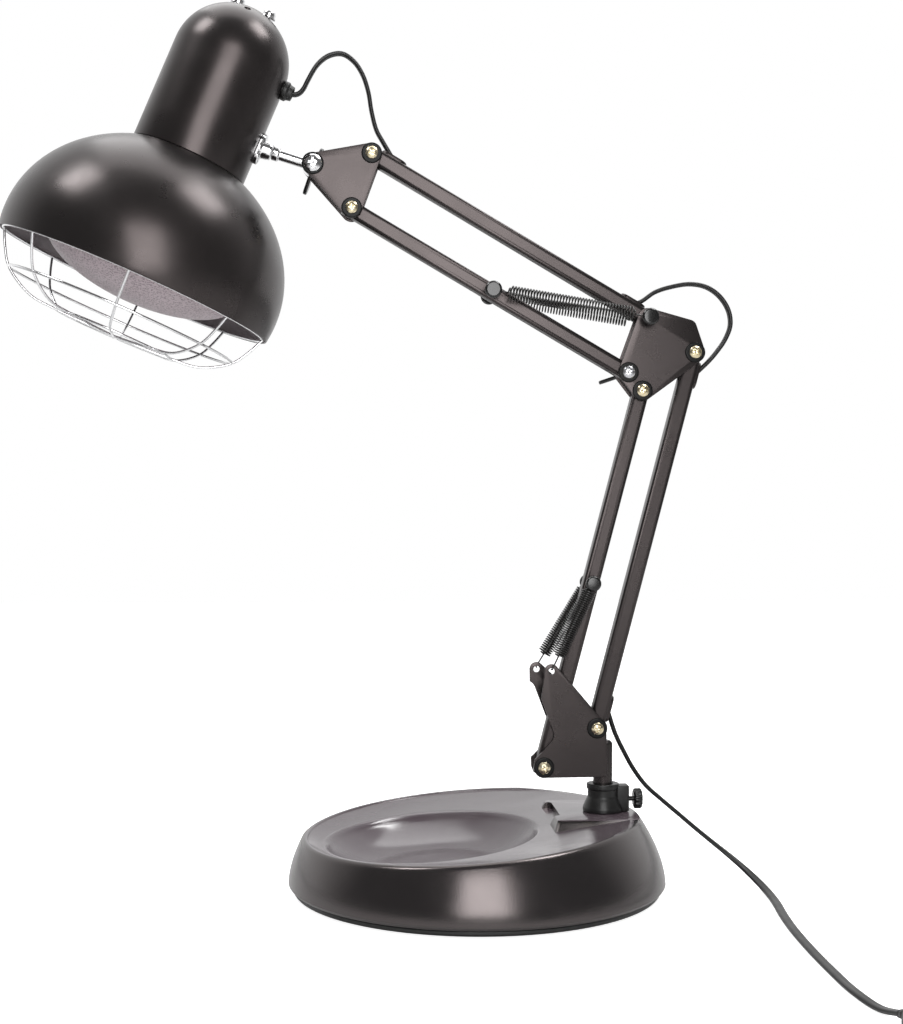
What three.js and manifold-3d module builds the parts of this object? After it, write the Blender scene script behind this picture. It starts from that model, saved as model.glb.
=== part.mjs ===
// Infrared heat therapy lamp on a sprung two-part swing arm with a weighted round base.
// Millimetres, +Z up, origin on the table under the centre of the base, head towards -X.
import * as THREE from 'three';
import { mergeVertices } from 'three/addons/utils/BufferGeometryUtils.js';
import { ConvexGeometry } from 'three/addons/geometries/ConvexGeometry.js';
import Module from 'manifold-3d';

const wasm = await Module();
wasm.setup();

// Driving sizes. Lengths are millimetres, angles are degrees.
const fit = { gap: 0.3, overrun: 2 };

const base = {
  radius: 115.6, widestHeight: 8, wall: 2.6, seamHeight: 5.8, seamRadius: 114, seamTuck: 1.4,
  drawIn: 18.5, drawPower: 1.7, wallTop: 51, topHeight: 42.5, topSlope: 4.12, topTurn: 12.9, lip: 2.2, segments: 30,
};
const dish = { x: -28.5, y: -6.3, radius: 65.5, ringDrop: 4.5, depth: 17.4, floorRadius: 32 };
const landing = { height: 46.8, left: 48, front: -20, back: 44, run: 24, toe: 8, foot: 33 };
const pocket = { width: 9.4, length: 44, depth: 9, back: 38, shift: -1.4 };
const slot = { x: 24.6, y: -34.6, length: 12, width: 7, depth: 5, turnAngle: 50 };
const cover = {
  thickness: 2.4, standoff: 2, bossRadius: 24, footRadius: 5, footRing: 96, feet: 8, firstFoot: 22.5,
};
const ballast = { inset: 17.6, thickness: 8, segments: 28 };

const post = { inset: 35.8, y: 7, radius: 6, top: 91.3, seat: 2.2, crown: 2, crownRadius: 4 };
const socket = {
  radius: 9.4, flare: 12.5, flareHeight: 8.5, top: 64.4, bevel: 1.2, blockEnd: 16, blockWidth: 10,
};
const knob = {
  height: 54.4, screwRadius: 1.5, reach: 6.8, start: 19.1, radius: 6.4, thickness: 5.4, crown: 0.8,
};

const tube = { side: 10, wall: 0.9, overhang: 4.8 };
const cheek = { thickness: 1.5, narrowGap: 11, wideGap: 12.6, boss: 6.4, bevelSteps: 6 };
const bolt = {
  shaft: 2, head: 4, headHeight: 2.2, ring: 5.7, ringHeight: 0.8, nut: 3.6, nutHeight: 3, tail: 1.2,
};
const pin = { shaft: 2, cap: 5.3, smallCap: 4.8, capHeight: 2.4, crown: 0.8 };
const wing = {
  hub: 4.6, height: 5.5, span: 31, lobe: 4.6, thickness: 2.4, rise: 8.4, elbowTurnAngle: 198, headTurnAngle: 68,
};
const lug = { fromPivot: 13, length: 17, width: 8.6, height: 1.4, cutLength: 13, cutWidth: 6.8 };

const lower = { pivotBack: 4.8, pivotHeight: 99.6, length: 242, leanAngle: 75.2, link: 41, linkAngle: 36 };
const upper = { pivotX: -29.6, pivotZ: 21.1, length: 199, leanAngle: 149.8, link: 36, linkAngle: 70 };
const lowerPlate = {
  earX: -2.9, earZ: 59.7, frontEarX: 4.7, earRadius: 4.4, earHole: 2, rearRadius: 5.8,
  footX: 37.4, footZ: -3.8, footRadius: 2.4,
  notchX: [0, -12.2, -10.3], notchZ: [20.1, 13.6, 45.8], notchRadius: [6.3, 10.6, 6.9],
};
const elbowPlate = { cornerX: -3.8, cornerZ: 15.5, cornerRadius: 5 };
const headPlate = { clampX: -36.2, clampZ: -6.9 };
const lowerPin = { fromPivot: 118 };
const upperPin = { fromPivot: 98.6 };

const upperSpring = { radius: 4.75, wire: 1.1, offset: 12.6, curls: 9, lead: 5.2, tail: 6.1 };
const lowerSpring = { radius: 4.2, wire: 1.1, offset: 9.8, curls: 7, lead: 4.3, tail: 7.5 };
const curlSteps = 8;
const curlSides = 5;

const stem = { dropAngle: 17, length: 35, radius: 3.4, eye: 6.6, eyeWidth: 10.4 };
const clampBolt = { head: 5.4, headHeight: 3.4 };
const saddle = { height: 25, length: 20, width: 11, thickness: 3, boss: 5.4, bossLength: 5.5 };
const head = { tiltAngle: 22.9 };
const cup = { radius: 36, wall: 1.1, height: 66, segments: 18, vents: 6, ventRadius: 2.1, ventRing: 19 };
const domeScrew = { spread: 10.2, head: 4, headHeight: 4.2, crown: 1.7, shaft: 1.8, length: 20 };
const gland = { height: 64, radius: 6, length: 6, neck: 4.6, bore: 3.3 };
const shade = { radius: 91, rimDepth: 84, bellyLift: 12, wall: 0.9, throat: 33, segments: 26, rings: 5 };
const guard = {
  wire: 1, wires: 4, turnAngle: 6, sides: 4, segments: 18, steps: 10,
  midRadius: 77.5, midDrop: 20, lowRadius: 39, lowDrop: 33,
};
const bulb = {
  radius: 62.5, faceDrop: 10.5, bellyLift: 26, neckRadius: 17, neckHeight: 40, cap: 13, capTop: 72, segments: 18,
  wall: 1.5, vent: 2,
};
const holder = { radius: 21, bottom: 44.6, top: 88, boreTop: 74, segments: 16 };

const flex = { width: 5.6, thickness: 2.9, sides: 8, samples: 20, inset: 1.8, innerStart: 18.5, parting: 0.8 };
const coil = {
  x: 137.5, y: -386, radius: 31, pitch: 3.6, layer: 6.4, lift: 0.6, loopsPerLayer: 3, steps: 22, sides: 6,
  climb: 0.25, tailSteps: 8,
};
const hand = {
  x: 173.9, y: -313, length: 62, width: 27, height: 17, corner: 9, bevel: 1.6, entry: 8.5,
  pivotDrop: 1, rockerLength: 21, rockerWidth: 12, rockerRise: 2.4, rockerBody: 3, room: 1.1, depth: 7,
};
const plug = {
  x: 137.4, y: -440, length: 36, width: 24, height: 15, corner: 4, neckWidth: 11, neckHeight: 9, neckLength: 12,
};
const blade = { length: 17, width: 6.3, thickness: 1.5, spacing: 12.7, seat: 7 };

// Lead routes. Head and elbow loops as x and z in the plane of the arms, the mains lead as x, y and z.
const headRoute = [
  [-116.1, 492.7], [-112.6, 491.4], [-109.3, 492.4], [-106.6, 495.4], [-104.3, 500], [-98, 510.5], [-91, 516],
  [-83, 517.3], [-76, 513], [-70.5, 505], [-66.8, 494], [-64.8, 482], [-61.8, 470.5], [-58, 463.5],
  [-53.3, 455.6], [-49.2, 447.8],
];
const elbowRoute = [
  [93.4, 364.9], [102.3, 365.1], [113, 371.9], [123.8, 375.4], [135.3, 377.1], [145.5, 375.3], [153.7, 369.8],
  [159.5, 361], [160.8, 351.6], [157.6, 342.7], [152, 334.5], [146.5, 328.2], [140.7, 322.7], [134.2, 316.7],
];
const mainsRoute = [
  [81, 7, 115.5], [83.7, 7, 107.1], [87.5, 7, 95.5], [94.2, 7, 81.7], [99.5, 7, 72.4], [107, 7, 62.5],
  [117, 7, 53.5], [127.5, 7, 44.6], [138.5, 6.8, 35.2], [149.3, 5.6, 26.4], [159, 2.6, 18.6], [167, -3.2, 11.8],
  [172.6, -11.8, 6.4], [175.4, -23, 3], [175.6, -36, 1.7], [174, -52, 1.6], [171, -74, 1.6], [168, -103, 1.6],
  [165.8, -140, 1.6], [164.8, -178, 1.6], [165.1, -215, 1.6], [168.4, -242, 2], [172.6, -264, 6.4],
];
const headStops = [0, 6, 10, 15];
const elbowStops = [0, 5, 13];
const mainsStops = [0, 4, 10, 23];
const headSteps = [10, 7, 8];
const elbowSteps = [10, 12];
const mainsSteps = [7, 10, 25];
const coilExit = [[174.5, -402, 9.2], [171, -419, 8.2], [160, -433, 7.7], [146, -439.3, 7.5]];

const finish = {
  satinBlack: [0x2c292b, 0.42, 0.3], grainBlack: [0x262427, 0.55, 0], gloss: [0x1d1b1d, 0.3, 0],
  chrome: [0xc9c9cc, 0.18, 1], gold: [0xc2a86a, 0.32, 1], silver: [0xb9b9ba, 0.3, 1],
  castIron: [0x4b4845, 0.8, 0.6], porcelain: [0xe4dfd4, 0.35, 0], frosted: [0xcdbcbc, 0.6, 0],
  rubber: [0x1a1a1b, 0.65, 0], brass: [0xb89a52, 0.35, 1],
};

const rad = THREE.MathUtils.degToRad;
const lamp = new THREE.Group();

// A direction or place in the plane of the arms, as x and z.
const along = (angle, length) => [Math.cos(rad(angle)) * length, Math.sin(rad(angle)) * length];
const plus = (a, b) => [a[0] + b[0], a[1] + b[1]];

// Closed mesh to solid and back, so that pieces can be joined and cut.
function solid(geometry) {
  const bare = geometry.clone();
  bare.deleteAttribute('normal');
  bare.deleteAttribute('uv');
  const merged = mergeVertices(bare);
  const index = merged.index.array;
  const kept = [];
  for (let i = 0; i < index.length; i += 3) {
    const [a, b, c] = [index[i], index[i + 1], index[i + 2]];
    if (a !== b && b !== c && c !== a) kept.push(a, b, c);
  }
  const vertProperties = new Float32Array(merged.attributes.position.array);
  const triVerts = new Uint32Array(kept);
  return new wasm.Manifold(new wasm.Mesh({ numProp: 3, vertProperties, triVerts }));
}

function surface(body) {
  const mesh = body.getMesh();
  const geometry = new THREE.BufferGeometry();
  geometry.setAttribute('position', new THREE.BufferAttribute(new Float32Array(mesh.vertProperties), 3));
  geometry.setIndex(new THREE.BufferAttribute(new Uint32Array(mesh.triVerts), 1));
  geometry.computeVertexNormals();
  return geometry;
}

const joined = (...parts) => surface(parts.map(solid).reduce((whole, part) => whole.add(part)));
const cut = (body, ...tools) => surface(
  tools.map(solid).reduce((whole, tool) => whole.subtract(tool), solid(body)));
const common = (a, b) => surface(solid(a).intersect(solid(b)));

// Turned shapes: a profile of [radius, height] pairs spun round the Y axis, or round the Z axis.
function turnedY(profile, segments) {
  return new THREE.LatheGeometry(profile.map(([r, h]) => new THREE.Vector2(r, h)), segments);
}
const turnedZ = (profile, segments) => turnedY(profile, segments).rotateX(rad(90));
const turnedX = (profile, segments) => turnedY(profile, segments).rotateZ(rad(-90));
const rodY = (radius, from, to, segments = 12) => (
  turnedY([[0, from], [radius, from], [radius, to], [0, to]], segments));
const rodX = (radius, from, to, segments = 12) => rodY(radius, from, to, segments).rotateZ(rad(-90));
const rodZ = (radius, from, to, segments = 12) => rodY(radius, from, to, segments).rotateX(rad(90));

function block(sizeX, sizeY, sizeZ, x = 0, y = 0, z = 0) {
  return new THREE.BoxGeometry(sizeX, sizeY, sizeZ).translate(x, y, z);
}

// Closed stack of circles, each [centre x, centre y, radius, height] from bottom to top.
function stacked(circles, segments) {
  const positions = [];
  const index = [];
  for (const [x, y, radius, height] of circles) {
    for (let i = 0; i < segments; i += 1) {
      const angle = 2 * Math.PI * i / segments;
      positions.push(x + radius * Math.cos(angle), y + radius * Math.sin(angle), height);
    }
  }
  const last = circles.length - 1;
  const floor = positions.length / 3;
  positions.push(circles[0][0], circles[0][1], circles[0][3]);
  positions.push(circles[last][0], circles[last][1], circles[last][3]);
  for (let i = 0; i < segments; i += 1) {
    const next = (i + 1) % segments;
    for (let ring = 0; ring < last; ring += 1) {
      const [a, b] = [ring * segments + i, ring * segments + next];
      index.push(a, b, b + segments, a, b + segments, a + segments);
    }
    index.push(floor, next, i, floor + 1, last * segments + i, last * segments + next);
  }
  const geometry = new THREE.BufferGeometry();
  geometry.setAttribute('position', new THREE.Float32BufferAttribute(positions, 3));
  geometry.setIndex(index);
  return geometry;
}

// Outline that runs round circles like a belt, each circle [x, z, radius].
function belted(circles, steps = cheek.bevelSteps) {
  const cloud = circles.flatMap(([x, z, radius]) => Array.from({ length: steps * 2 }, (_, i) => {
    const angle = Math.PI * i / steps;
    return [x + radius * Math.cos(angle), z + radius * Math.sin(angle)];
  }));
  cloud.sort((a, b) => a[0] - b[0] || a[1] - b[1]);
  const half = (points) => points.reduce((hull, point) => {
    while (hull.length > 1) {
      const [a, b] = [hull[hull.length - 2], hull[hull.length - 1]];
      if ((b[0] - a[0]) * (point[1] - a[1]) - (b[1] - a[1]) * (point[0] - a[0]) > 0) break;
      hull.pop();
    }
    return [...hull, point];
  }, []);
  const under = half(cloud);
  const over = half([...cloud].reverse());
  const around = [...under.slice(0, -1), ...over.slice(0, -1)];
  return new THREE.Shape(around.map(([x, z]) => new THREE.Vector2(x, z)));
}

// Sheet cut to an outline in the plane of the arms, from one y to another.
function sheet(outline, from, to) {
  const options = { depth: to - from, bevelEnabled: false };
  return new THREE.ExtrudeGeometry(outline, options).rotateX(rad(90)).translate(0, to, 0);
}

// Round or oval tube wound along a list of points, with flat ends. Its wide side is carried along the
// route, or asked for at every point.
function wound(points, halfWidth, halfHeight, sides, sideAt = null) {
  const positions = [];
  const index = [];
  let side = new THREE.Vector3(0, 1, 0);
  points.forEach((point, i) => {
    const ahead = points[Math.min(i + 1, points.length - 1)];
    const behind = points[Math.max(i - 1, 0)];
    const tangent = ahead.clone().sub(behind).normalize();
    const wanted = sideAt ? sideAt(tangent, i) : side;
    side = wanted.clone().addScaledVector(tangent, -wanted.dot(tangent)).normalize();
    const rise = new THREE.Vector3().crossVectors(tangent, side);
    for (let j = 0; j < sides; j += 1) {
      const angle = 2 * Math.PI * (j + 0.5) / sides;
      const at = point.clone().addScaledVector(side, halfWidth * Math.cos(angle));
      at.addScaledVector(rise, halfHeight * Math.sin(angle));
      positions.push(at.x, at.y, at.z);
    }
  });
  const last = points.length - 1;
  for (let j = 0; j < sides; j += 1) {
    const next = (j + 1) % sides;
    for (let i = 0; i < last; i += 1) {
      const [a, b] = [i * sides + j, i * sides + next];
      index.push(a, b, b + sides, a, b + sides, a + sides);
    }
    if (j > 0 && j < sides - 1) {
      index.push(0, j + 1, j, last * sides, last * sides + j, last * sides + j + 1);
    }
  }
  const geometry = new THREE.BufferGeometry();
  geometry.setAttribute('position', new THREE.Float32BufferAttribute(positions, 3));
  geometry.setIndex(index);
  return geometry;
}

function add(name, geometry, look, parent = lamp, x = 0, y = 0, z = 0) {
  const [color, roughness, metalness] = finish[look];
  const mesh = new THREE.Mesh(geometry, new THREE.MeshStandardMaterial({ color, roughness, metalness }));
  mesh.name = name;
  mesh.position.set(x, y, z);
  parent.add(mesh);
  return mesh;
}

// Base: a drawn-in wall under a tilted top that falls gently to an off-centre dish.
function wallRadius(height) {
  const share = (height - base.widestHeight) / (base.wallTop - base.widestHeight);
  return base.radius - base.drawIn * share ** base.drawPower;
}

function wallBody(inset, from) {
  const shares = [0, 0.3, 0.6, 0.82, 1];
  const rise = base.wallTop - base.widestHeight;
  const side = shares.map((share) => {
    const height = base.widestHeight + rise * share;
    return [wallRadius(height) - inset, height];
  });
  const foot = [[0, from], [base.seamRadius - inset, from]];
  return turnedZ([...foot, ...side, [0, base.wallTop]], base.segments);
}

const postX = base.radius - post.inset;
const topFrame = new THREE.Matrix4()
  .makeRotationAxis(
    new THREE.Vector3(Math.sin(rad(base.topTurn)), -Math.cos(rad(base.topTurn)), 0), rad(base.topSlope))
  .setPosition(0, 0, base.topHeight);
const onTop = (geometry) => geometry.applyMatrix4(topFrame);

// The leaning wall meets the tilted top in a rim whose centre lies towards its low side.
const rimRadius = wallRadius(base.topHeight);
const topRise = rimRadius * Math.sin(rad(base.topSlope));
const rimShift = (wallRadius(base.topHeight + topRise) - wallRadius(base.topHeight - topRise)) / 2;
const rimX = rimShift * Math.cos(rad(base.topTurn));
const rimY = rimShift * Math.sin(rad(base.topTurn));

function aboveTop(drop) {
  const height = base.radius;
  return onTop(block(base.radius * 3, base.radius * 3, height, 0, 0, height / 2 - drop));
}

// The rim runs level where it would stand above the landing.
function aboveLanding(drop) {
  const height = base.radius;
  return block(base.radius * 3, base.radius * 3, height, 0, 0, landing.height + height / 2 - drop);
}

function recess(grow) {
  const edge = rimRadius - base.lip + grow;
  const shares = [0, 0.35, 0.7, 1];
  const bowl = shares.map((share) => [
    dish.x, dish.y, dish.floorRadius + (dish.radius - dish.floorRadius) * share + grow,
    -dish.ringDrop - dish.depth * (1 - share * share) - grow,
  ]);
  return onTop(stacked([...bowl, [rimX, rimY, edge, -grow], [rimX, rimY, edge, fit.overrun]], base.segments));
}

function landingBlock() {
  const right = base.radius;
  const top = [
    [landing.left, landing.front], [right, landing.front], [right, landing.back], [landing.left, landing.back],
  ];
  const toe = landing.left - landing.toe;
  const foot = [
    [toe, landing.front - landing.run], [right, landing.front], [right, landing.back], [toe, landing.back],
  ];
  const corners = [
    ...top.map(([x, y]) => new THREE.Vector3(x, y, landing.height)),
    ...foot.map(([x, y]) => new THREE.Vector3(x, y, landing.foot)),
  ];
  return new ConvexGeometry(corners);
}

function baseShell() {
  const hollow = cut(
    wallBody(base.wall, base.seamHeight - fit.overrun), aboveTop(base.wall), aboveLanding(base.wall),
    recess(base.wall));
  const bowl = cut(wallBody(0, base.seamHeight), aboveTop(0), aboveLanding(0), recess(0), hollow);
  const platform = common(landingBlock(), wallBody(0, base.seamHeight));
  const pocketX = landing.left + pocket.shift;
  const opening = block(
    pocket.width, pocket.length, pocket.depth * 2, pocketX, pocket.back - pocket.length / 2, landing.height);
  const notch = block(slot.length, slot.width, slot.depth * 2).rotateZ(rad(slot.turnAngle));
  const notchHeight = base.topHeight - dish.ringDrop - slot.depth;
  return cut(joined(bowl, platform), opening, notch.translate(slot.x, slot.y, notchHeight));
}

function baseCover() {
  const rim = base.seamRadius - base.seamTuck;
  const plateTop = cover.standoff + cover.thickness;
  const tray = turnedZ([
    [0, 0], [cover.bossRadius, 0], [cover.bossRadius, cover.standoff], [rim - cover.thickness, cover.standoff],
    [rim, cover.standoff + cover.thickness / 2], [rim, base.seamHeight - fit.gap],
    [rim - cover.thickness, base.seamHeight - fit.gap], [rim - cover.thickness, plateTop], [0, plateTop],
  ], base.segments);
  const feet = Array.from({ length: cover.feet }, (_, i) => {
    const angle = rad(cover.firstFoot + 360 * i / cover.feet);
    const foot = rodZ(cover.footRadius, 0, plateTop - cover.thickness / 2);
    return foot.translate(cover.footRing * Math.cos(angle), cover.footRing * Math.sin(angle), 0);
  });
  return joined(tray, ...feet);
}

const ballastFoot = cover.standoff + cover.thickness + fit.gap;
const ballastRadius = base.radius - ballast.inset;
add('base_shell', baseShell(), 'grainBlack');
add('base_cover', baseCover(), 'rubber');
add('ballast_weight', turnedZ([
  [0, ballastFoot], [ballastRadius, ballastFoot], [ballastRadius, ballastFoot + ballast.thickness],
  [0, ballastFoot + ballast.thickness],
], ballast.segments), 'castIron');

// Post socket on the landing, with its clamp ear and thumb knob.
const socketFoot = landing.height + fit.gap;
const postFoot = socketFoot + post.seat;

function postSocket() {
  const skirt = socketFoot + socket.flareHeight;
  const body = turnedZ([
    [0, socketFoot], [socket.flare, socketFoot], [socket.flare, socketFoot + post.seat],
    [socket.radius + socket.bevel, skirt], [socket.radius, skirt + socket.bevel],
    [socket.radius, socket.top - socket.bevel], [socket.radius - socket.bevel, socket.top], [0, socket.top],
  ], 16);
  const ear = block(
    socket.blockEnd - socket.radius / 2, socket.blockWidth, socket.top - socket.bevel - socketFoot,
    (socket.blockEnd + socket.radius / 2) / 2, 0, (socket.top - socket.bevel + socketFoot) / 2);
  const bore = rodZ(post.radius + fit.gap, postFoot - fit.gap, socket.top + fit.overrun, 16);
  const tapping = rodX(knob.screwRadius + fit.gap, 0, socket.blockEnd + fit.overrun, 10)
    .translate(0, 0, knob.height);
  return cut(joined(body, ear), bore, tapping);
}

add('post_socket', postSocket(), 'rubber', lamp, postX, post.y);
add('clamp_knob', turnedX([
  [0, knob.reach], [knob.screwRadius, knob.reach], [knob.screwRadius, knob.start],
  [knob.radius - knob.crown, knob.start], [knob.radius, knob.start + knob.crown],
  [knob.radius, knob.start + knob.thickness - knob.crown],
  [knob.radius - knob.crown, knob.start + knob.thickness], [0, knob.start + knob.thickness],
], 12), 'rubber', lamp, postX, post.y, knob.height);

// Pivots of the arms, as x and z in the plane through the post.
const arms = new THREE.Group();
arms.position.y = post.y;
lamp.add(arms);

const rearPivot = [postX - lower.pivotBack, lower.pivotHeight];
const frontPivot = plus(rearPivot, along(lower.linkAngle + 180, lower.link));
const rearTop = plus(rearPivot, along(lower.leanAngle, lower.length));
const frontTop = plus(frontPivot, along(lower.leanAngle, lower.length));
const upperPivot = plus(rearTop, [upper.pivotX, upper.pivotZ]);
const lowPivot = plus(upperPivot, along(upper.linkAngle + 180, upper.link));
const headTop = plus(upperPivot, along(upper.leanAngle, upper.length));
const headLow = plus(lowPivot, along(upper.leanAngle, upper.length));
const clampPivot = plus(headTop, [headPlate.clampX, headPlate.clampZ]);
const lowerPinAt = plus(frontPivot, along(lower.leanAngle, lowerPin.fromPivot));
const upperPinAt = plus(lowPivot, along(upper.leanAngle, upperPin.fromPivot));

add('post_rod', turnedZ([
  [0, postFoot], [post.radius, postFoot], [post.radius, post.top - post.crown],
  [post.crownRadius, post.top], [0, post.top],
], 16), 'satinBlack', arms, postX);

// Bolt through both cheeks: ringed head in front, lock nut or bare thread behind.
const wideFace = cheek.wideGap / 2 + cheek.thickness;
const narrowFace = cheek.narrowGap / 2 + cheek.thickness;

function boltProfile(face, size, nut) {
  const ring = -face - fit.gap - bolt.ringHeight;
  const crown = ring - size.headHeight;
  const behind = face + fit.gap;
  const front = [
    [0, crown], [size.head / 2, crown], [size.head, ring - size.headHeight / 3], [size.head, ring],
    [bolt.ring, ring], [bolt.ring, ring + bolt.ringHeight], [bolt.shaft, ring + bolt.ringHeight],
  ];
  const end = behind + (nut ? bolt.nutHeight : wing.height) + bolt.tail;
  const lock = [
    [bolt.shaft, behind], [bolt.nut, behind], [bolt.nut, behind + bolt.nutHeight],
    [bolt.shaft, behind + bolt.nutHeight],
  ];
  return [...front, ...(nut ? lock : []), [bolt.shaft, end], [0, end]];
}

function addBolt(name, at, face, look, size = bolt, nut = true) {
  add(name, turnedY(boltProfile(face, size, nut), 8), look, arms, at[0], 0, at[1]);
}

function addWingNut(name, at, face, turn) {
  const foot = face + fit.gap;
  const hub = rodY(wing.hub, foot, foot + wing.height);
  const lobes = [1, -1].map((side) => {
    const tip = side * (wing.span / 2 - wing.lobe);
    const rise = foot + wing.height + wing.rise - wing.lobe;
    const outline = belted([[tip, rise, wing.lobe], [0, foot + wing.height / 2, wing.height / 2]], 5);
    const options = { depth: wing.thickness, bevelEnabled: false };
    return new THREE.ExtrudeGeometry(outline, options).translate(0, 0, -wing.thickness / 2);
  });
  const bore = rodY(bolt.shaft + fit.gap, foot - fit.overrun, foot + wing.height + wing.rise + wing.lobe);
  const nut = add(name, cut(joined(hub, ...lobes), bore), 'chrome', arms, at[0], 0, at[1]);
  nut.rotation.y = rad(-turn);
}

// Cheek plates, a pair at each bracket.
const drill = (at, radius = bolt.shaft + fit.gap) => (
  rodY(radius, -wideFace - fit.overrun, wideFace + fit.overrun).translate(at[0], 0, at[1]));

function addCheeks(name, circles, holes, gap, trims = () => []) {
  const edge = gap / 2;
  for (const [end, side] of [['front', -1], ['rear', 1]]) {
    const [near, far] = [edge * side, (edge + cheek.thickness) * side];
    const outline = belted(circles(end));
    const plate = sheet(outline, Math.min(near, far), Math.max(near, far));
    add(`${name}_plate_${end}`, cut(plate, ...holes(end), ...trims(end)), 'satinBlack', arms);
  }
}

const earAt = (end) => (
  plus(frontPivot, [end === 'front' ? lowerPlate.frontEarX : lowerPlate.earX, lowerPlate.earZ]));
addCheeks(
  'lower',
  (end) => [
    [...frontPivot, cheek.boss], [...rearPivot, lowerPlate.rearRadius], [...earAt(end), lowerPlate.earRadius],
    [frontPivot[0] + lowerPlate.footX, frontPivot[1] + lowerPlate.footZ, lowerPlate.footRadius],
  ],
  (end) => [drill(frontPivot), drill(rearPivot), drill(earAt(end), lowerPlate.earHole)],
  cheek.wideGap,
  () => [sheet(belted(lowerPlate.notchRadius.map((radius, i) => [
    frontPivot[0] + lowerPlate.notchX[i], frontPivot[1] + lowerPlate.notchZ[i], radius,
  ])), -wideFace - fit.overrun, wideFace + fit.overrun)],
);
addCheeks(
  'elbow',
  () => [
    [...upperPivot, cheek.boss], [...rearTop, cheek.boss], [...frontTop, cheek.boss], [...lowPivot, cheek.boss],
    [rearTop[0] + elbowPlate.cornerX, rearTop[1] + elbowPlate.cornerZ, elbowPlate.cornerRadius],
  ],
  () => [drill(upperPivot), drill(rearTop), drill(frontTop), drill(lowPivot)],
  cheek.narrowGap,
);
addCheeks(
  'head',
  () => [[...clampPivot, cheek.boss], [...headTop, cheek.boss], [...headLow, cheek.boss]],
  () => [drill(clampPivot), drill(headTop), drill(headLow)],
  cheek.narrowGap,
);

addBolt('lower_front_bolt', frontPivot, wideFace, 'gold');
addBolt('lower_rear_bolt', rearPivot, wideFace, 'gold');
addBolt('elbow_low_bolt', frontTop, narrowFace, 'gold');
addBolt('elbow_rear_bolt', rearTop, narrowFace, 'gold');
addBolt('elbow_clamp_bolt', lowPivot, narrowFace, 'silver', bolt, false);
addBolt('head_top_bolt', headTop, narrowFace, 'gold');
addBolt('head_low_bolt', headLow, narrowFace, 'gold');
addBolt('head_clamp_bolt', clampPivot, narrowFace, 'chrome', clampBolt, false);
addWingNut('elbow_wing_nut', lowPivot, narrowFace, wing.elbowTurnAngle);
addWingNut('head_wing_nut', clampPivot, narrowFace, wing.headTurnAngle);

// Spring pins with a cap at each end, outside the springs.
function addSpringPin(name, at, offset, cap = pin.cap) {
  const inner = offset + pin.shaft;
  const outer = inner + pin.capHeight;
  const face = cap - pin.crown;
  add(name, turnedY([
    [0, -outer], [face, -outer], [cap, -outer + pin.crown], [cap, -inner], [pin.shaft, -inner],
    [pin.shaft, inner], [cap, inner], [cap, outer - pin.crown], [face, outer], [0, outer],
  ], 10), 'satinBlack', arms, at[0], 0, at[1]);
}

addSpringPin('elbow_spring_pin', upperPivot, upperSpring.offset);
addSpringPin('upper_spring_pin', upperPinAt, upperSpring.offset);
addSpringPin('lower_spring_pin', lowerPinAt, lowerSpring.offset, pin.smallCap);

// Square arm tubes, drilled at the pivots, with raised lead slots on the outer wall.
function addTube(name, at, angle, length, drills, slots) {
  const half = tube.side / 2;
  const whole = length + 2 * tube.overhang;
  const bar = block(tube.side, tube.side, whole, 0, 0, length / 2);
  const inside = tube.side - 2 * tube.wall;
  const bore = block(inside, inside, whole + 2 * fit.overrun, 0, 0, length / 2);
  const thick = lug.height + tube.wall / 2;
  const pads = slots.map((z) => block(thick, lug.width, lug.length, half + lug.height - thick / 2, 0, z));
  const span = lug.cutLength - lug.cutWidth;
  const deep = half + lug.height + fit.overrun;
  const openings = slots.flatMap((z) => [
    block(deep, lug.cutWidth, span, deep / 2, 0, z),
    rodX(lug.cutWidth / 2, 0, deep, 8).translate(0, 0, z - span / 2),
    rodX(lug.cutWidth / 2, 0, deep, 8).translate(0, 0, z + span / 2),
  ]);
  const bores = drills.map((z) => drill([0, z], bolt.shaft + fit.gap));
  const mesh = add(
    name, cut(joined(bar, ...pads), bore, ...bores, ...openings), 'satinBlack', arms, at[0], 0, at[1]);
  mesh.rotation.y = rad(90 - angle);
}

const slotsOf = (length) => [lug.fromPivot, length - lug.fromPivot];
addTube('lower_rear_tube', rearPivot, lower.leanAngle, lower.length, [0, lower.length], slotsOf(lower.length));
addTube('lower_front_tube', frontPivot, lower.leanAngle, lower.length, [0, lowerPin.fromPivot, lower.length], []);
addTube('upper_top_tube', upperPivot, upper.leanAngle, upper.length, [0, upper.length], slotsOf(upper.length));
addTube('upper_low_tube', lowPivot, upper.leanAngle, upper.length, [0, upperPin.fromPivot, upper.length], []);

// Springs: a close helix with straight ends that meet the pins or hook into the lower ears.
function springRoute(from, to, size, hook = []) {
  const axis = to.clone().sub(from).normalize();
  const first = new THREE.Vector3().crossVectors(axis, new THREE.Vector3(0, 1, 0)).normalize();
  const second = new THREE.Vector3().crossVectors(axis, first);
  const radius = size.radius - size.wire / 2;
  const span = to.distanceTo(from) - size.lead - size.tail;
  const count = size.curls * curlSteps;
  const curls = Array.from({ length: count + 1 }, (_, i) => {
    const angle = 2 * Math.PI * i / curlSteps;
    return from.clone().addScaledVector(axis, size.lead + span * i / count)
      .addScaledVector(first, radius * Math.cos(angle)).addScaledVector(second, radius * Math.sin(angle));
  });
  const gaps = curls.slice(curlSteps).map((point, i) => point.distanceTo(curls[i]) - size.wire);
  console.log(`least gap between spring curls ${Math.min(...gaps).toFixed(2)} mm`);
  const start = [from, from.clone().addScaledVector(axis, size.lead - radius / 2)];
  const end = [to.clone().addScaledVector(axis, radius / 2 - size.tail), to];
  return [...start, ...curls, ...end, ...hook];
}

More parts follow.
